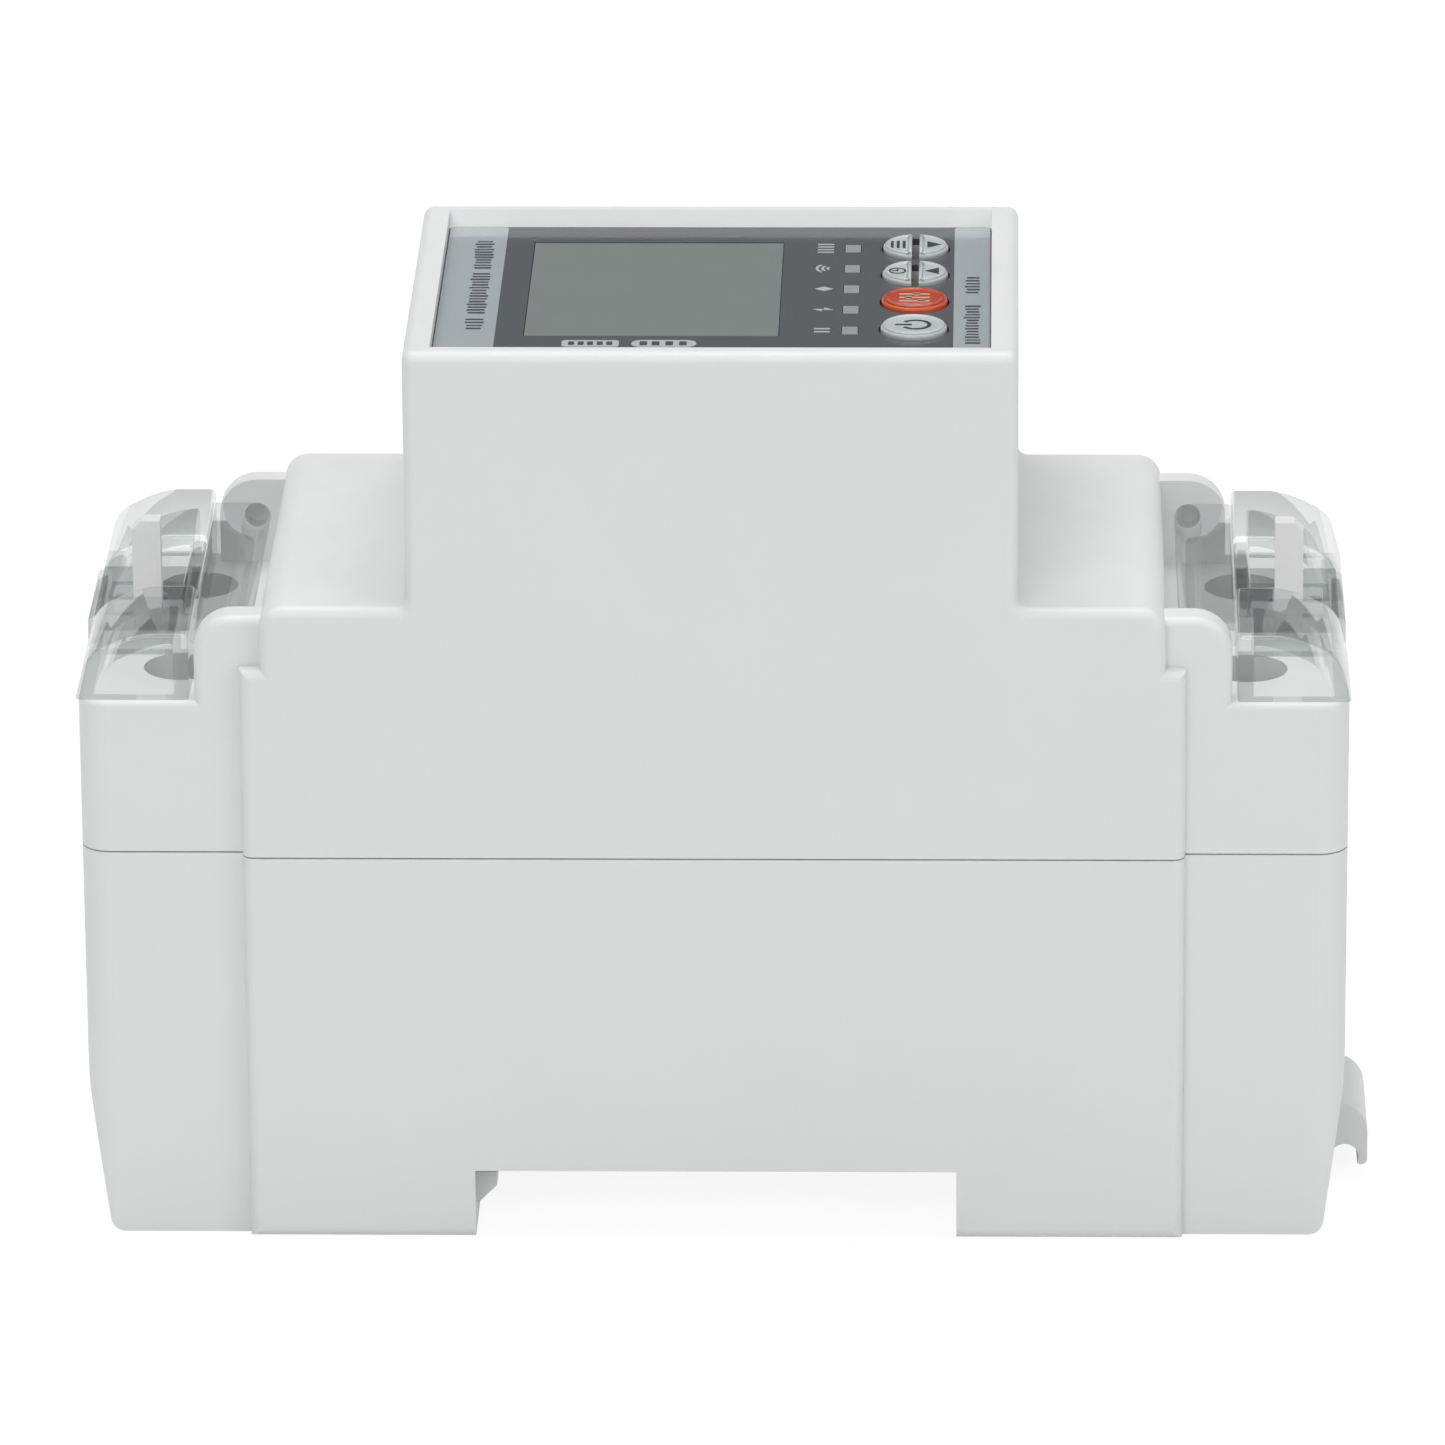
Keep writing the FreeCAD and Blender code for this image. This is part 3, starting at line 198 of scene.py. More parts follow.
def hang_studio_wall():
    """A grey band round the set: a cylinder about Z, from its foot to its top."""
    angle, height = np.meshgrid(np.linspace(0, 2 * np.pi, 97), np.linspace(WALL_FOOT, WALL_TOP, 4))
    ring = np.stack([WALL_RADIUS * np.cos(angle), WALL_RADIUS * np.sin(angle), height], axis=-1)
    wall = stage_sheet("studio_wall", ring)
    material, _, shader = new_material("grey_wall")
    make_matt(shader, WALL_COLOUR)
    wall.data.materials.append(material)


# ---------------------------------------------------------------- material helpers
PLASTIC_GRAIN, METAL_GRAIN, CLEAR_RIPPLE = 0.000012, 0.000008, 0.00002
CLEAR_DEEPER = (0.055, 0.043, 0.045)
CLEAR_GLOSS, CLEAR_SHINE, CLEAR_POWER = (0.028, 0.052), 0.05, 3
LAMP_PASS = 0.985


def new_material(name):
    """A material, its node tree and the shader that it starts with."""
    material = bpy.data.materials.new(name)
    material.use_nodes = True
    tree = material.node_tree
    return material, tree, tree.nodes["Principled BSDF"]


def make_matt(shader, colour):
    """One flat colour with no gloss."""
    shader.inputs["Base Color"].default_value = colour
    shader.inputs["Roughness"].default_value = 1.0
    shader.inputs["Specular IOR Level"].default_value = 0.0


def link(tree, output, socket):
    """Joins a node's output to another node's input."""
    tree.links.new(output, socket)


def noise(tree, scale, detail=3.0):
    """Noise on the piece's own coordinates, in metres, so a scale of 1000 is one lump a millimetre."""
    place = tree.nodes.new("ShaderNodeTexCoord")
    cloud = tree.nodes.new("ShaderNodeTexNoise")
    cloud.inputs["Scale"].default_value = scale
    cloud.inputs["Detail"].default_value = detail
    link(tree, place.outputs["Object"], cloud.inputs["Vector"])
    return cloud.outputs["Fac"]


def spread(tree, value, low, high):
    """Maps noise, which stays near a half, onto a range."""
    ranged = tree.nodes.new("ShaderNodeMapRange")
    ranged.inputs["From Min"].default_value = 0.3
    ranged.inputs["From Max"].default_value = 0.7
    ranged.inputs["To Min"].default_value = low
    ranged.inputs["To Max"].default_value = high
    link(tree, value, ranged.inputs["Value"])
    return ranged.outputs["Result"]


def blend_colours(tree, factor, first, second):
    """From the first colour at factor 0 to the second at 1."""
    mix = tree.nodes.new("ShaderNodeMix")
    mix.data_type = "RGBA"
    mix.inputs["A"].default_value = (*first, 1)
    mix.inputs["B"].default_value = (*second, 1)
    link(tree, factor, mix.inputs["Factor"])
    return mix.outputs["Result"]


def bump(tree, height, distance):
    """A normal tilted as by relief of that height, the distance being its full depth in metres."""
    lift = tree.nodes.new("ShaderNodeBump")
    lift.inputs["Distance"].default_value = distance
    link(tree, height, lift.inputs["Height"])
    return lift.outputs["Normal"]


def moulded_plastic(name, first, second, rough=(0.38, 0.5), ior=1.5):
    """Moulded plastic: a faint cloud of colour, fine grain and uneven gloss."""
    material, tree, shader = new_material(name)
    link(tree, blend_colours(tree, noise(tree, 60), first, second), shader.inputs["Base Color"])
    link(tree, spread(tree, noise(tree, 400), *rough), shader.inputs["Roughness"])
    link(tree, bump(tree, noise(tree, 2500, 2.0), PLASTIC_GRAIN), shader.inputs["Normal"])
    shader.inputs["IOR"].default_value = ior
    return material


def metal(name, first, second, rough=(0.22, 0.38)):
    """Stamped or turned metal: streaked colour and uneven polish."""
    material, tree, shader = new_material(name)
    link(tree, blend_colours(tree, noise(tree, 300), first, second), shader.inputs["Base Color"])
    link(tree, spread(tree, noise(tree, 1200), *rough), shader.inputs["Roughness"])
    link(tree, bump(tree, noise(tree, 3000, 4.0), METAL_GRAIN), shader.inputs["Normal"])
    shader.inputs["Metallic"].default_value = 1.0
    return material


def clear_plastic(name, tint):
    """Clear moulding that lets the lamps through.

    It passes a tinted view of what is behind it, deeper in colour as it slants, and its share
    of shine rises from CLEAR_SHINE, face on, with the slant to the power CLEAR_POWER.
    """
    material, tree, shader = new_material(name)
    tree.nodes.remove(shader)
    deeper = tuple(c - d for c, d in zip(tint, CLEAR_DEEPER))
    slant = tree.nodes.new("ShaderNodeLayerWeight")
    cloudy = spread(tree, noise(tree, 90), 0.9, 1.1)
    depth = tree.nodes.new("ShaderNodeMath")
    depth.operation = "MULTIPLY"
    link(tree, slant.outputs["Facing"], depth.inputs[0])
    link(tree, cloudy, depth.inputs[1])
    ripple = bump(tree, noise(tree, 260, 1.5), CLEAR_RIPPLE)
    through = tree.nodes.new("ShaderNodeBsdfTransparent")
    link(tree, blend_colours(tree, depth.outputs[0], tint, deeper), through.inputs["Color"])
    shine = tree.nodes.new("ShaderNodeBsdfGlossy")
    link(tree, spread(tree, noise(tree, 500), *CLEAR_GLOSS), shine.inputs["Roughness"])
    link(tree, ripple, shine.inputs["Normal"])
    power = tree.nodes.new("ShaderNodeMath")
    power.operation = "POWER"
    power.inputs[1].default_value = CLEAR_POWER
    link(tree, slant.outputs["Facing"], power.inputs[0])
    share = tree.nodes.new("ShaderNodeMapRange")
    share.inputs["To Min"].default_value = CLEAR_SHINE
    link(tree, power.outputs[0], share.inputs["Value"])
    lamps = tree.nodes.new("ShaderNodeBsdfTransparent")
    lamps.inputs["Color"].default_value = (LAMP_PASS, LAMP_PASS, LAMP_PASS, 1)
    path = tree.nodes.new("ShaderNodeLightPath")
    body = tree.nodes.new("ShaderNodeMixShader")
    link(tree, share.outputs[0], body.inputs[0])
    link(tree, through.outputs[0], body.inputs[1])
    link(tree, shine.outputs[0], body.inputs[2])
    whole = tree.nodes.new("ShaderNodeMixShader")
    link(tree, path.outputs["Is Camera Ray"], whole.inputs[0])
    link(tree, lamps.outputs[0], whole.inputs[1])
    link(tree, body.outputs[0], whole.inputs[2])
    link(tree, whole.outputs[0], tree.nodes["Material Output"].inputs["Surface"])
    return material


def paint(node, material):
    """Gives every slot of a CAD node one material."""
    for slot in nodes[node].material_slots:
        slot.material = material


# ---------------------------------------------------------------- mesh helpers
ROUND_POINTS = 4
LETTER_WIDTH = 0.62


def grid_faces(rows, columns, closed):
    """Quads of a grid of points numbered row by row; a closed grid joins its last column to its first."""
    row, column = np.meshgrid(np.arange(rows - 1), np.arange(columns - (not closed)), indexing="ij")
    beyond = (column + 1) % columns
    corners = [row * columns + column, row * columns + beyond,
               (row + 1) * columns + beyond, (row + 1) * columns + column]
    return np.stack(corners, axis=-1).reshape(-1, 4).tolist()


def add_piece(name, points, faces, material, body, smooth=False):
    """A mesh in metres as a named piece that rides on a body and fills a material slot."""
    mesh = bpy.data.meshes.new(name)
    mesh.from_pydata(points, [], faces)
    mesh.materials.append(material)
    if smooth:
        mesh.shade_smooth()
    piece = bpy.data.objects.new(name, mesh)
    bpy.context.scene.collection.objects.link(piece)
    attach(piece, body)
    return piece


def carried(outline, steps, axis="z", side=1):
    """An outline carried through steps, as a grid of points and its faces, closed at both ends.

    A step is (inset, place): the outline moved in along its own normals by the inset, at that
    place along the axis. The outline runs anticlockwise in XY, or in XZ for a solid carried
    along Y, and side -1 mirrors the solid in X.
    """
    along = np.roll(outline, -1, axis=0) - np.roll(outline, 1, axis=0)
    inward = np.stack([-along[:, 1], along[:, 0]], axis=1)
    inward = inward / np.linalg.norm(inward, axis=1, keepdims=True)
    inset = np.array([step[0] for step in steps])[:, None, None]
    place = np.array([step[1] for step in steps])[:, None]
    flat = outline[None] + inset * inward[None]
    rows, columns = flat.shape[:2]
    place = np.broadcast_to(place, (rows, columns))
    order = (flat[..., 0] * side, flat[..., 1], place)
    if axis == "y":
        order = (order[0], order[2], order[1])
    points = np.stack(order, axis=-1).reshape(-1, 3)
    top = (rows - 1) * columns
    faces = grid_faces(rows, columns, True)
    faces += [list(range(top, top + columns)), list(range(columns - 1, -1, -1))]
    if (axis == "y") != (side < 0):
        faces = [face[::-1] for face in faces]
    return points, faces


def one_piece(name, shapes, material, body, smooth=False):
    """Several closed shapes, each its points in millimetres and its faces, as one piece."""
    points, faces, start = [], [], 0
    for shape_points, shape_faces in shapes:
        points.append(shape_points)
        faces += [[corner + start for corner in face] for face in shape_faces]
        start += len(shape_points)
    return add_piece(name, np.concatenate(points) * MM, faces, material, body, smooth)


def raised(name, outlines, steps, material, body, smooth=False):
    """Shapes that stand on a level surface, each an outline carried up through the same steps."""
    shapes = [carried(outline, steps) for outline in outlines]
    return one_piece(name, shapes, material, body, smooth)


def rolled(low, high, radius):
    """Steps from low to high whose first and last arrises are quarter rounds."""
    angle = np.linspace(0, np.pi / 2, ROUND_POINTS)
    inset = radius * (1 - np.sin(angle))
    rise = radius * (1 - np.cos(angle))
    up = list(zip(inset, low + rise))
    return up + list(zip(inset[::-1], high - rise[::-1]))


def bar_outline(x, y, half_x, half_y, radius=0.0):
    """A rectangle about (x, y) whose corners are quarter circles, anticlockwise."""
    radius = max(radius, 1e-4)
    angle = np.linspace(0, np.pi / 2, ROUND_POINTS)
    quarter = np.arange(4)[:, None]
    sign_x = np.array([1, -1, -1, 1])[:, None]
    sign_y = np.array([1, 1, -1, -1])[:, None]
    swing = angle[None] + quarter * np.pi / 2
    px = x + sign_x * (half_x - radius) + radius * np.cos(swing)
    py = y + sign_y * (half_y - radius) + radius * np.sin(swing)
    return np.stack([px.ravel(), py.ravel()], axis=1)


def band_outline(x, y, inner, outer, start, end, turns):
    """Part of a ring about (x, y): the outer arc from start to end, and the inner arc back."""
    out = np.linspace(start, end, turns)
    angle = np.concatenate([out, out[::-1]])
    radius = np.repeat([outer, inner], turns)
    return np.stack([x + radius * np.cos(angle), y + radius * np.sin(angle)], axis=1)


def greeked_words(x, words, height, seed):
    """Rows of upright ticks along Y in place of lettering; a word is its two ends in Y."""
    dice = np.random.default_rng(seed)
    ticks = []
    for low, high in words:
        count = max(2, int((high - low) / LETTER_WIDTH))
        centre = low + (np.arange(count) + 0.5) * (high - low) / count
        tall = height / 2 * dice.uniform(0.72, 1.0, count)
        shift = dice.uniform(-0.05, 0.05, count)
        thick = dice.uniform(0.13, 0.2, count)
        ticks += [bar_outline(x + d, c, t, w, 0.05) for c, t, d, w in zip(centre, tall, shift, thick)]
    return ticks


# ---------------------------------------------------------------- finishes of the CAD nodes
def finish_cad_nodes():
    """Gives every CAD node its material; the clear plastic and the steel are used again."""
    housing = moulded_plastic("white_housing", (0.80, 0.81, 0.81), (0.76, 0.77, 0.77))
    clear = clear_plastic("clear_cover", (0.953, 0.966, 0.963))
    label = moulded_plastic("label_film", (0.1, 0.108, 0.115), (0.092, 0.1, 0.107), (0.08, 0.14), ior=1.33)
    window = moulded_plastic("smoked_window", (0.222, 0.245, 0.24), (0.205, 0.228, 0.222), (0.1, 0.2))
    lamp = moulded_plastic("lamp_window", (0.33, 0.35, 0.35), (0.3, 0.32, 0.32), (0.2, 0.3))
    grey = moulded_plastic("grey_key", (0.55, 0.58, 0.59), (0.5, 0.53, 0.54), (0.25, 0.4))
    orange = moulded_plastic("orange_key", (0.75, 0.12, 0.04), (0.7, 0.1, 0.03), (0.2, 0.35))
    black = moulded_plastic("black_moulding", (0.02, 0.02, 0.022), (0.03, 0.03, 0.03))
    board = moulded_plastic("circuit_board", (0.02, 0.13, 0.05), (0.03, 0.16, 0.06), (0.2, 0.3))
    glass = moulded_plastic("display_cell", (0.25, 0.28, 0.27), (0.23, 0.26, 0.25), (0.08, 0.12))
    diffuser = moulded_plastic("diffuser", (0.8, 0.8, 0.78), (0.75, 0.75, 0.73))
    steel = metal("zinc_steel", (0.62, 0.62, 0.6), (0.55, 0.55, 0.54))
    brass = metal("stamped_brass", (0.75, 0.56, 0.26), (0.68, 0.5, 0.22))
    copper = metal("enamelled_copper", (0.7, 0.32, 0.16), (0.6, 0.25, 0.12))
    iron = metal("laminated_iron", (0.3, 0.3, 0.31), (0.24, 0.24, 0.25), (0.4, 0.55))
    ferrite = moulded_plastic("coated_ferrite", (0.04, 0.04, 0.045), (0.05, 0.05, 0.05))
    amber = moulded_plastic("potted_box", (0.6, 0.42, 0.06), (0.55, 0.38, 0.05), (0.25, 0.4))
    sleeve = moulded_plastic("can_sleeve", (0.03, 0.035, 0.07), (0.04, 0.045, 0.08), (0.2, 0.3))
    blue = moulded_plastic("dipped_disc", (0.03, 0.1, 0.4), (0.03, 0.08, 0.35), (0.3, 0.45))
    ceramic = moulded_plastic("glazed_ceramic", (0.75, 0.75, 0.7), (0.7, 0.7, 0.66), (0.15, 0.25))
    finishes = {
        housing: ["base_housing", "front_housing", "rail_clip"],
        clear: ["load_cover", "supply_cover"],
        label: ["front_label"],
        window: ["display_window"],
        lamp: ["light_pipes", "status_leds"],
        grey: ["power_key", "timer_key", "up_key", "menu_key", "down_key"],
        orange: ["set_key"],
        black: ["tact_switches", "board_header", "relay_case", "relay_pusher"]
        + [key + "_plunger" for key in ("power", "set", "timer", "up", "menu", "down")],
        board: ["display_board", "main_board", "radio_module"],
        glass: ["display_glass"],
        diffuser: ["backlight"],
        steel: ["display_board_screws", "main_board_screws", "clip_spring"],
        brass: ["neutral_bar", "supply_line_bar", "load_line_bar", "relay_bridge"],
        copper: ["relay_coil"],
        iron: ["relay_armature", "transformer"],
        ferrite: ["current_ring"],
        amber: ["film_capacitor"],
        sleeve: ["electrolytic_capacitors"],
        blue: ["varistor"],
        ceramic: ["fuse_link"],
    }
    for terminal in ("supply_line", "supply_neutral", "load_line", "load_neutral"):
        finishes[steel] += [terminal + "_cage", terminal + "_screw"]
    for material, names in finishes.items():
        for name in names:
            paint(name, material)
    unpainted = set(nodes) - {name for names in finishes.values() for name in names}
    assert not unpainted, unpainted
    return clear, steel


# ---------------------------------------------------------------- clear terminal covers
COVER_TOP, COVER_FOOT, COVER_WALL, COVER_ROUND = 42.05, 36.95, 1.2, 0.45
COVER_INNER, COVER_END = 38.7, 47.1
VALLEY_Y, COVER_Y, VALLEY_TOP = 5.5, 16.5, 39.6
INNER_ROUND, ROLL_SHARE = 0.25, 0.8
HINGE, KNUCKLE, TONGUE_UNDER = (35.45, 40.65), 1.05, 0.15
TONGUE_Y, PIN_FOOT, PIN_END, PIN_RADIUS, PIN_SIDES = 14.2, 14.22, 15.8, 0.9, 24
WEB_ROLL, TONGUE_ROLL = 0.1, 0.08
CRISP_ANGLE = math.radians(40)
# The bend of a hump's end, as (back from the end, down from the top).
BEND_START, BEND_OVER, BEND_MIDDLE = (5.4, 0), (3.7, 0.4), (2.2, 1.1)
BEND_DOWN, BEND_FOOT = (1.15, 1.8), (0.6, 2.8)


def arc_through(first, middle, last, turns):
    """Points of the circle through three points, from the first to the last."""
    a, b, c = (complex(*p) for p in (first, middle, last))
    w = (c - a) / (b - a)
    centre = (b - a) * (w - abs(w) ** 2) / (2j * w.imag) + a
    start, stop = np.angle(a - centre), np.angle(c - centre)
    sweep = (stop - start + np.pi) % (2 * np.pi) - np.pi
    ring = centre + abs(a - centre) * np.exp(1j * (start + np.linspace(0, sweep, turns)))
    return np.stack([ring.real, ring.imag], axis=1)


def hump_profile(inset, corner):
    """Side profile of a hump, up from the hinge side's foot, over the top and down the end.

    The shoulder is a quarter round; the bend at the end is two arcs, each through three points.
    """
    inner, end, top = COVER_INNER + inset, COVER_END - inset, COVER_TOP - inset
    start, over, middle, down, foot = (
        (end - back, top - drop)
        for back, drop in (BEND_START, BEND_OVER, BEND_MIDDLE, BEND_DOWN, BEND_FOOT))
    turn = corner * (1 - math.sqrt(0.5))
    upright = np.stack([np.full(5, inner), np.linspace(COVER_FOOT, top - corner, 5)], axis=1)
    shoulder = arc_through((inner, top - corner), (inner + turn, top - turn), (inner + corner, top), 6)
    flat = np.stack([np.linspace(inner + corner, start[0], 6), np.full(6, top)], axis=1)
    first = arc_through(start, over, middle, 12)
    second = arc_through(middle, down, foot, 12)
    last = np.stack([np.linspace(foot[0], end, 6), np.linspace(foot[1], COVER_FOOT, 6)], axis=1)
    return np.concatenate([upright, shoulder[1:], flat[1:], first[1:], second[1:], last[1:]])


def hump_skin(inset, corner, low, high):
    """The hump's skin, open at the foot, as rows across Y by columns along the profile.

    The profile is carried from low to high in Y. At each end it rolls in by a quarter round,
    a little tighter than its own shoulder, so that the shoulder never shrinks to a point.
    """
    profile = hump_profile(inset, corner)
    along = np.gradient(profile, axis=0)
    inward = np.stack([along[:, 1], -along[:, 0]], axis=1)
    inward /= np.linalg.norm(inward, axis=1, keepdims=True)
    angle = np.linspace(0, np.pi / 2, 6)
    roll = ROLL_SHARE * corner
    roll_in, roll_y = roll * (1 - np.sin(angle)), roll * (1 - np.cos(angle))
    across = np.concatenate([low + roll_y, high - roll_y[::-1]])
    moved = np.concatenate([roll_in, roll_in[::-1]])
    flat = profile[None] + moved[:, None, None] * inward[None]
    flat[..., 1] = np.maximum(flat[..., 1], COVER_FOOT)
    y = np.broadcast_to(across[:, None], flat.shape[:2])
    return np.stack([flat[..., 0], y, flat[..., 1]], axis=-1)


def hump_shell(low, high, side):
    """Outer and inner skins of a hump, each with its two end walls, joined round the foot."""
    outer = hump_skin(0, COVER_ROUND, low, high)
    inner = hump_skin(COVER_WALL, INNER_ROUND, low + COVER_WALL, high - COVER_WALL)
    rows, columns = outer.shape[:2]
    count = rows * columns
    points = np.concatenate([outer.reshape(-1, 3), inner.reshape(-1, 3)]) * [side, 1, 1]
    index = np.arange(count).reshape(rows, columns)
    rim = np.concatenate([index[:, 0], index[::-1, -1]])
    after = np.roll(rim, -1)
    faces = grid_faces(rows, columns, False) + [index[0, ::-1].tolist(), index[-1].tolist()]
    faces += [[corner + count for corner in face[::-1]] for face in faces]
    faces += np.stack([rim, after, after + count, rim + count], axis=1).tolist()
    if side < 0:
        faces = [face[::-1] for face in faces]
    return points, faces


def framed_plate(outer, opening, low, high, side):
    """A level plate with an opening: two outlines of equal count, joined over, through and under."""
    ring = [(outer, low), (outer, high), (opening, high), (opening, low)]
    rows = [np.column_stack([line, np.full(len(line), z)]) for line, z in ring]
    points = np.concatenate(rows) * [side, 1, 1]
    faces = (np.array(grid_faces(len(rows) + 1, len(outer), True)) % len(points)).tolist()
    return points, [face[::-1] for face in faces] if side < 0 else faces


def tongue_outline():
    """Side outline of the tongue: the round knuckle on the hinge, run out into a flat plate."""
    x, z = HINGE
    turn = np.linspace(np.pi / 2, 2 * np.pi - math.asin(TONGUE_UNDER / KNUCKLE), 24)
    knuckle = np.stack([x + KNUCKLE * np.cos(turn), z + KNUCKLE * np.sin(turn)], axis=1)
    end, cut = COVER_INNER - 0.03, 0.1
    return np.concatenate([knuckle, [(end - cut, z - TONGUE_UNDER), (end, z),
                                     (end, z + KNUCKLE - cut), (end - cut, z + KNUCKLE)]])


def clear_covers(clear):
    """Both covers as moulded: two hollow humps, the slotted valley, the tongue and its pins."""
    for name, side in (("supply", -1), ("load", 1)):
        gap = VALLEY_Y - 0.02
        slot = bar_outline(43.3, 0, 2.05, 1.3, 0.3)
        valley = bar_outline(42.6, 0, 3.86, gap, 0.05)
        end = bar_outline(46.45, 38.15, 0.5, 1.2, 0.2)
        web = bar_outline(39.3, 40.7, 0.58, 0.98, 0.3)
        last = 2 * np.pi * (PIN_SIDES - 1) / PIN_SIDES
        pin = band_outline(*HINGE, 0.0, PIN_RADIUS, 0, last, PIN_SIDES)[:PIN_SIDES]
        shapes = [
            hump_shell(VALLEY_Y, COVER_Y, side),
            hump_shell(-COVER_Y, -VALLEY_Y, side),
            framed_plate(valley, slot, VALLEY_TOP - COVER_WALL, VALLEY_TOP, side),
            carried(end, rolled(-gap, gap, WEB_ROLL), "y", side),
            carried(web, rolled(-gap, gap, WEB_ROLL), "y", side),
            carried(tongue_outline(), rolled(-TONGUE_Y, TONGUE_Y, TONGUE_ROLL), "y", side),
            carried(pin, rolled(PIN_FOOT, PIN_END, WEB_ROLL), "y", side),
            carried(pin, rolled(-PIN_END, -PIN_FOOT, WEB_ROLL), "y", side),
        ]
        body = name + "_cover"
        cover = one_piece(name + "_clear_cover", shapes, clear, body, True)
        keep = cover.modifiers.new("crisp_arrises", "EDGE_SPLIT")
        keep.split_angle = CRISP_ANGLE
        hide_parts(body)


# ---------------------------------------------------------------- rail clip spring
CLIP_TRAVEL, SPRING_STRIP, SPRING_FOLDS = 2.5, 0.4, 5


def serpentine_outline(low, high):
    """Plan of the flat spring: straight bars across Y joined by half-round turns, a strip thick.

    The centre line is walked bar by bar, then moved half a strip to each side of itself.
    """
    pitch = (high[0] - low[0] - SPRING_STRIP) / SPRING_FOLDS
    reach = high[1] - SPRING_STRIP / 2
    first = low[0] + SPRING_STRIP / 2
    line = [np.array([[first, reach + SPRING_STRIP / 2]])]
    for fold in range(SPRING_FOLDS):
        side = 1 if fold % 2 else -1
        turn = np.linspace(np.pi, 0 if side > 0 else 2 * np.pi, 16)
        middle = (first + (fold + 0.5) * pitch, side * (reach - pitch / 2))
        line.append(np.stack([middle[0] + pitch / 2 * np.cos(turn),
                              middle[1] + pitch / 2 * np.sin(turn)], axis=1))
    line.append(np.array([[first + SPRING_FOLDS * pitch, reach + SPRING_STRIP / 2]]))
    line = np.concatenate(line)
    along = np.gradient(line, axis=0)
    normal = np.stack([-along[:, 1], along[:, 0]], axis=1)
    normal *= SPRING_STRIP / 2 / np.linalg.norm(normal, axis=1, keepdims=True)
    return np.concatenate([line - normal, (line + normal)[::-1]])


def fold_clip_spring(steel):
    """The clip's spring as a flat serpentine strip filling the CAD spring's box, riding on the case."""
    low, high = ([value / MM for value in corner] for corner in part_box("clip_spring"))
    steps = [(0, low[2]), (0, high[2])]
    spring = raised("folded_clip_spring", [serpentine_outline(low, high)], steps, steel,
                    "case")
    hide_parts("clip_spring")
    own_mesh(spring)


# ---------------------------------------------------------------- print on the front panel
# Rows in millimetres: the pills and their ticks share one in Y, and each lamp has its own.
PILL_ROW, SIGN_COLUMN = -12.3, 8.05
LAMP_ROWS = (-9.14, -4.27, 0.6, 5.47, 10.34)


def print_front_panel():
    """Printed film on the label: pale end bands, ticks in place of words, pills and lamp signs."""
    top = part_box("front_label")[1][2] / MM
    film = [(0, top - 0.02), (0, top + 0.02)]
    ink = [(0, top), (0, top + 0.035)]
    pale = moulded_plastic("pale_film", (0.4, 0.445, 0.47), (0.375, 0.42, 0.44), (0.08, 0.14))
    dark = moulded_plastic("dark_ink", (0.05, 0.055, 0.06), (0.06, 0.065, 0.07), (0.2, 0.3))
    light = moulded_plastic("light_ink", (0.5, 0.53, 0.54), (0.45, 0.48, 0.49), (0.2, 0.3))
    bands = [bar_outline(-18.2, 0, 2.2, 15.48, 0.4), bar_outline(19.05, 0, 1.34, 15.48, 0.4)]
    raised("label_pale_bands", bands, film, pale, "case")
    words = greeked_words(-17.6, [(-9.2, -6.4), (-5.5, 4.4), (5.2, 12.2)], 1.5, 3)
    words += greeked_words(19.1, [(-12.4, -3.2), (-0.6, 3.6)], 1.2, 5)
    raised("label_dark_words", words, ink, dark, "case")
    pills = [bar_outline(-8.9, PILL_ROW, 2.1, 0.75, 0.3), bar_outline(-3.5, PILL_ROW, 2.4, 0.8, 0.75)]
    raised("label_pills", pills, ink, light, "case")
    ticks = [bar_outline(x, PILL_ROW, 0.22, 0.4, 0.1) for x in (-10.3, -9.6, -8.9, -8.2, -7.5)]
    ticks += [bar_outline(x, PILL_ROW, 0.28, 0.45, 0.1) for x in (-5.0, -4.1, -3.1, -2.1)]
    raised("label_pill_ticks", ticks, [(0, top), (0, top + 0.05)], dark, "case")
    raised("label_lamp_signs", lamp_signs(), ink, light, "case")


def lamp_signs():
    """Five small signs beside the lamps: a bar pair, a bolt, a diamond, arcs and four bars."""
    x, rows = SIGN_COLUMN, LAMP_ROWS
    signs = [bar_outline(x, rows[0] + y, 0.6, 0.13, 0.08) for y in (-0.35, 0.35)]
    bolt = np.array([(-0.75, 0.1), (-0.1, -0.42), (-0.05, -0.06), (0.75, -0.1), (0.1, 0.42), (0.05, 0.06)])
    signs.append(bolt + [x, rows[1]])
    signs.append(np.array([(-0.7, 0), (0, -0.5), (0.7, 0), (0, 0.5)]) + [x, rows[2]])
    for radius in (0.35, 0.75, 1.15):
        arc = band_outline(x + 0.55, rows[3], radius - 0.1, radius + 0.1, np.pi - 0.8, np.pi + 0.8, 12)
        signs.append(arc)
    signs += [bar_outline(x, rows[4] + y, 0.62, 0.12, 0.08) for y in (-0.95, -0.32, 0.32, 0.95)]
    return signs


# ---------------------------------------------------------------- key faces
# A key is its centre in Y and its half: 0 for a whole round key, -1 or 1 for a half key.
KEY_X, KEY_EDGE, HALF_KEY_GAP, HALF_KEY_SIGN = 14.8, 2.3, 0.3, 1.32
KEYS = {
    "power": (-8.905, 0), "set": (-2.535, 0), "timer": (3.835, -1),
    "up": (3.835, 1), "menu": (10.205, -1), "down": (10.205, 1),
}
# A key's face as (inset, height over the key's top): the skirt, the rounded rim and the dish.
KEY_DISH = ((0, -0.1), (0, 0.02), (0.04, 0.09), (0.12, 0.13), (0.2, 0.12), (0.3, 0.06), (0.42, 0.03))


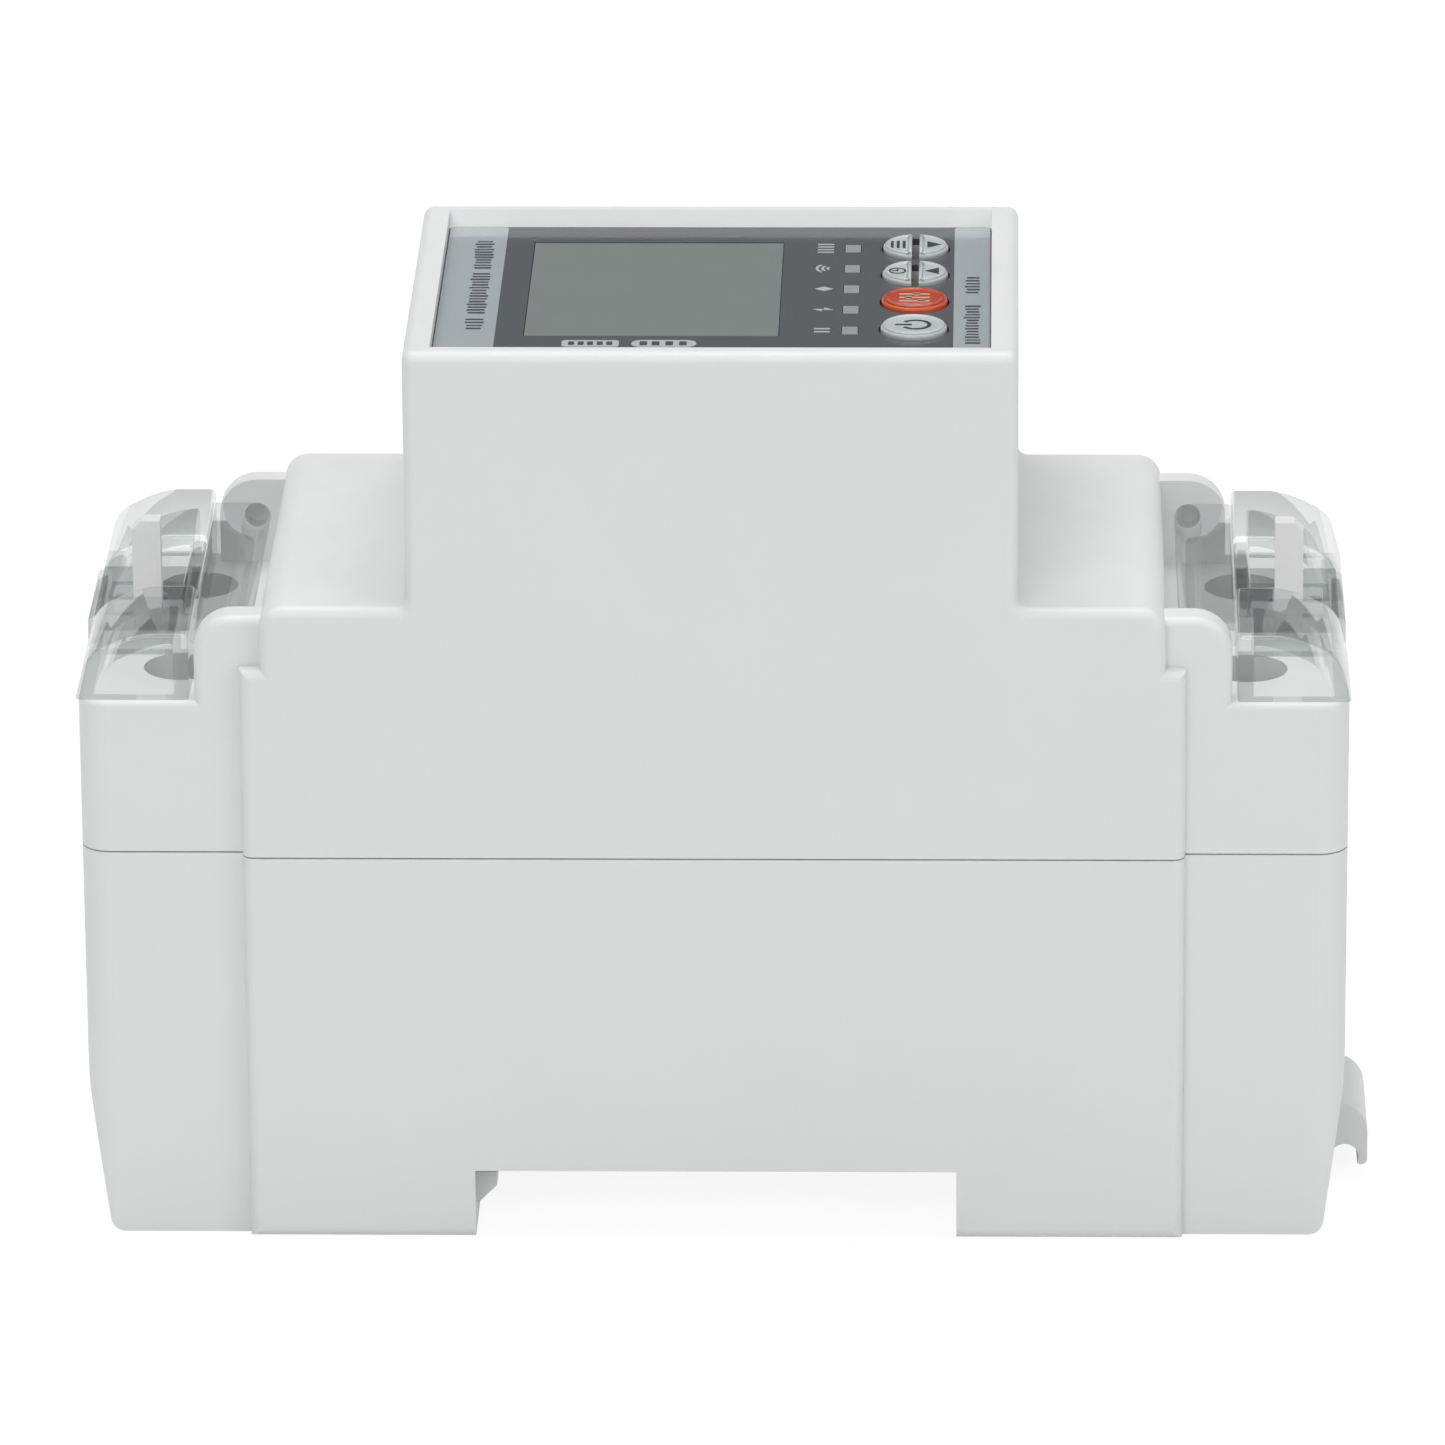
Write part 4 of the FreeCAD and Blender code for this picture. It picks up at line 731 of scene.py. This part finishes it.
def key_outline(y, half):
    """A round key's edge, or one half of it, cut straight beside the slot."""
    if half == 0:
        angle = np.linspace(0, 2 * np.pi, 64, endpoint=False)
    else:
        reach = np.arccos(HALF_KEY_GAP / KEY_EDGE)
        angle = np.linspace(-reach, reach, 40) + (0 if half > 0 else np.pi)
    return np.stack([KEY_X + KEY_EDGE * np.cos(angle), y + KEY_EDGE * np.sin(angle)], axis=1)


def face_keys():
    """A glossy moulded face on each key: a rounded rim round a shallow dish, and its sign."""
    grey = moulded_plastic("grey_key_face", (0.54, 0.58, 0.6), (0.5, 0.54, 0.56), (0.1, 0.2))
    orange = moulded_plastic("orange_key_face", (0.5, 0.062, 0.021), (0.47, 0.055, 0.018), (0.1, 0.18))
    dark = moulded_plastic("key_sign_dark", (0.03, 0.032, 0.035), (0.04, 0.042, 0.045), (0.2, 0.3))
    pale = moulded_plastic("key_sign_pale", (0.75, 0.5, 0.4), (0.7, 0.45, 0.36), (0.2, 0.3))
    for key, (y, half) in KEYS.items():
        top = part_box(key + "_key")[1][2] / MM
        steps = [(inset, top + height) for inset, height in KEY_DISH]
        finish, slot = (orange, "key_orange") if key == "set" else (grey, "key_grey")
        raised(key + "_key_face", [key_outline(y, half)], steps, finish, key + "_key", True)
        ink = [(0, top + 0.02), (0, top + 0.05)]
        sign = pale if key == "set" else dark
        outlines = key_sign(key, KEY_X + half * HALF_KEY_SIGN, y)
        raised(key + "_key_sign", outlines, ink, sign, key + "_key")


def key_sign(key, x, y):
    """The sign on a key, upright for a reader who has the supply end at the top."""
    if key == "power":
        ring = band_outline(x + 0.15, y, 0.85, 1.15, -np.pi + 0.62, np.pi - 0.62, 32)
        return [ring, bar_outline(x - 0.75, y, 0.62, 0.15, 0.1)]
    if key == "set":
        rails = [bar_outline(x, y + d, 1.15, 0.13, 0.1) for d in (-0.8, 0, 0.8)]
        return rails + [bar_outline(x + c, y + d, 0.26, 0.3, 0.12)
                        for d, c in ((-0.8, 0.5), (0, -0.45), (0.8, 0.15))]
    if key == "timer":
        ring = band_outline(x, y, 0.52, 0.68, 0.02, 2 * np.pi - 0.02, 28)
        return [ring, bar_outline(x - 0.18, y, 0.24, 0.07), bar_outline(x, y + 0.15, 0.07, 0.2)]
    if key == "menu":
        return [bar_outline(x + d, y, 0.11, 0.85, 0.08) for d in (-0.45, 0, 0.45)]
    point = -1 if key == "up" else 1
    corners = np.array([(0.6 * point, 0), (-0.45 * point, 0.75 * point), (-0.45 * point, -0.75 * point)])
    return [corners + [x, y]]


bpy.context.scene.view_settings.view_transform = "Standard"
set_camera()
light_the_set()
lay_floor()
hang_studio_wall()
clear, steel = finish_cad_nodes()
clear_covers(clear)
fold_clip_spring(steel)
print_front_panel()
face_keys()
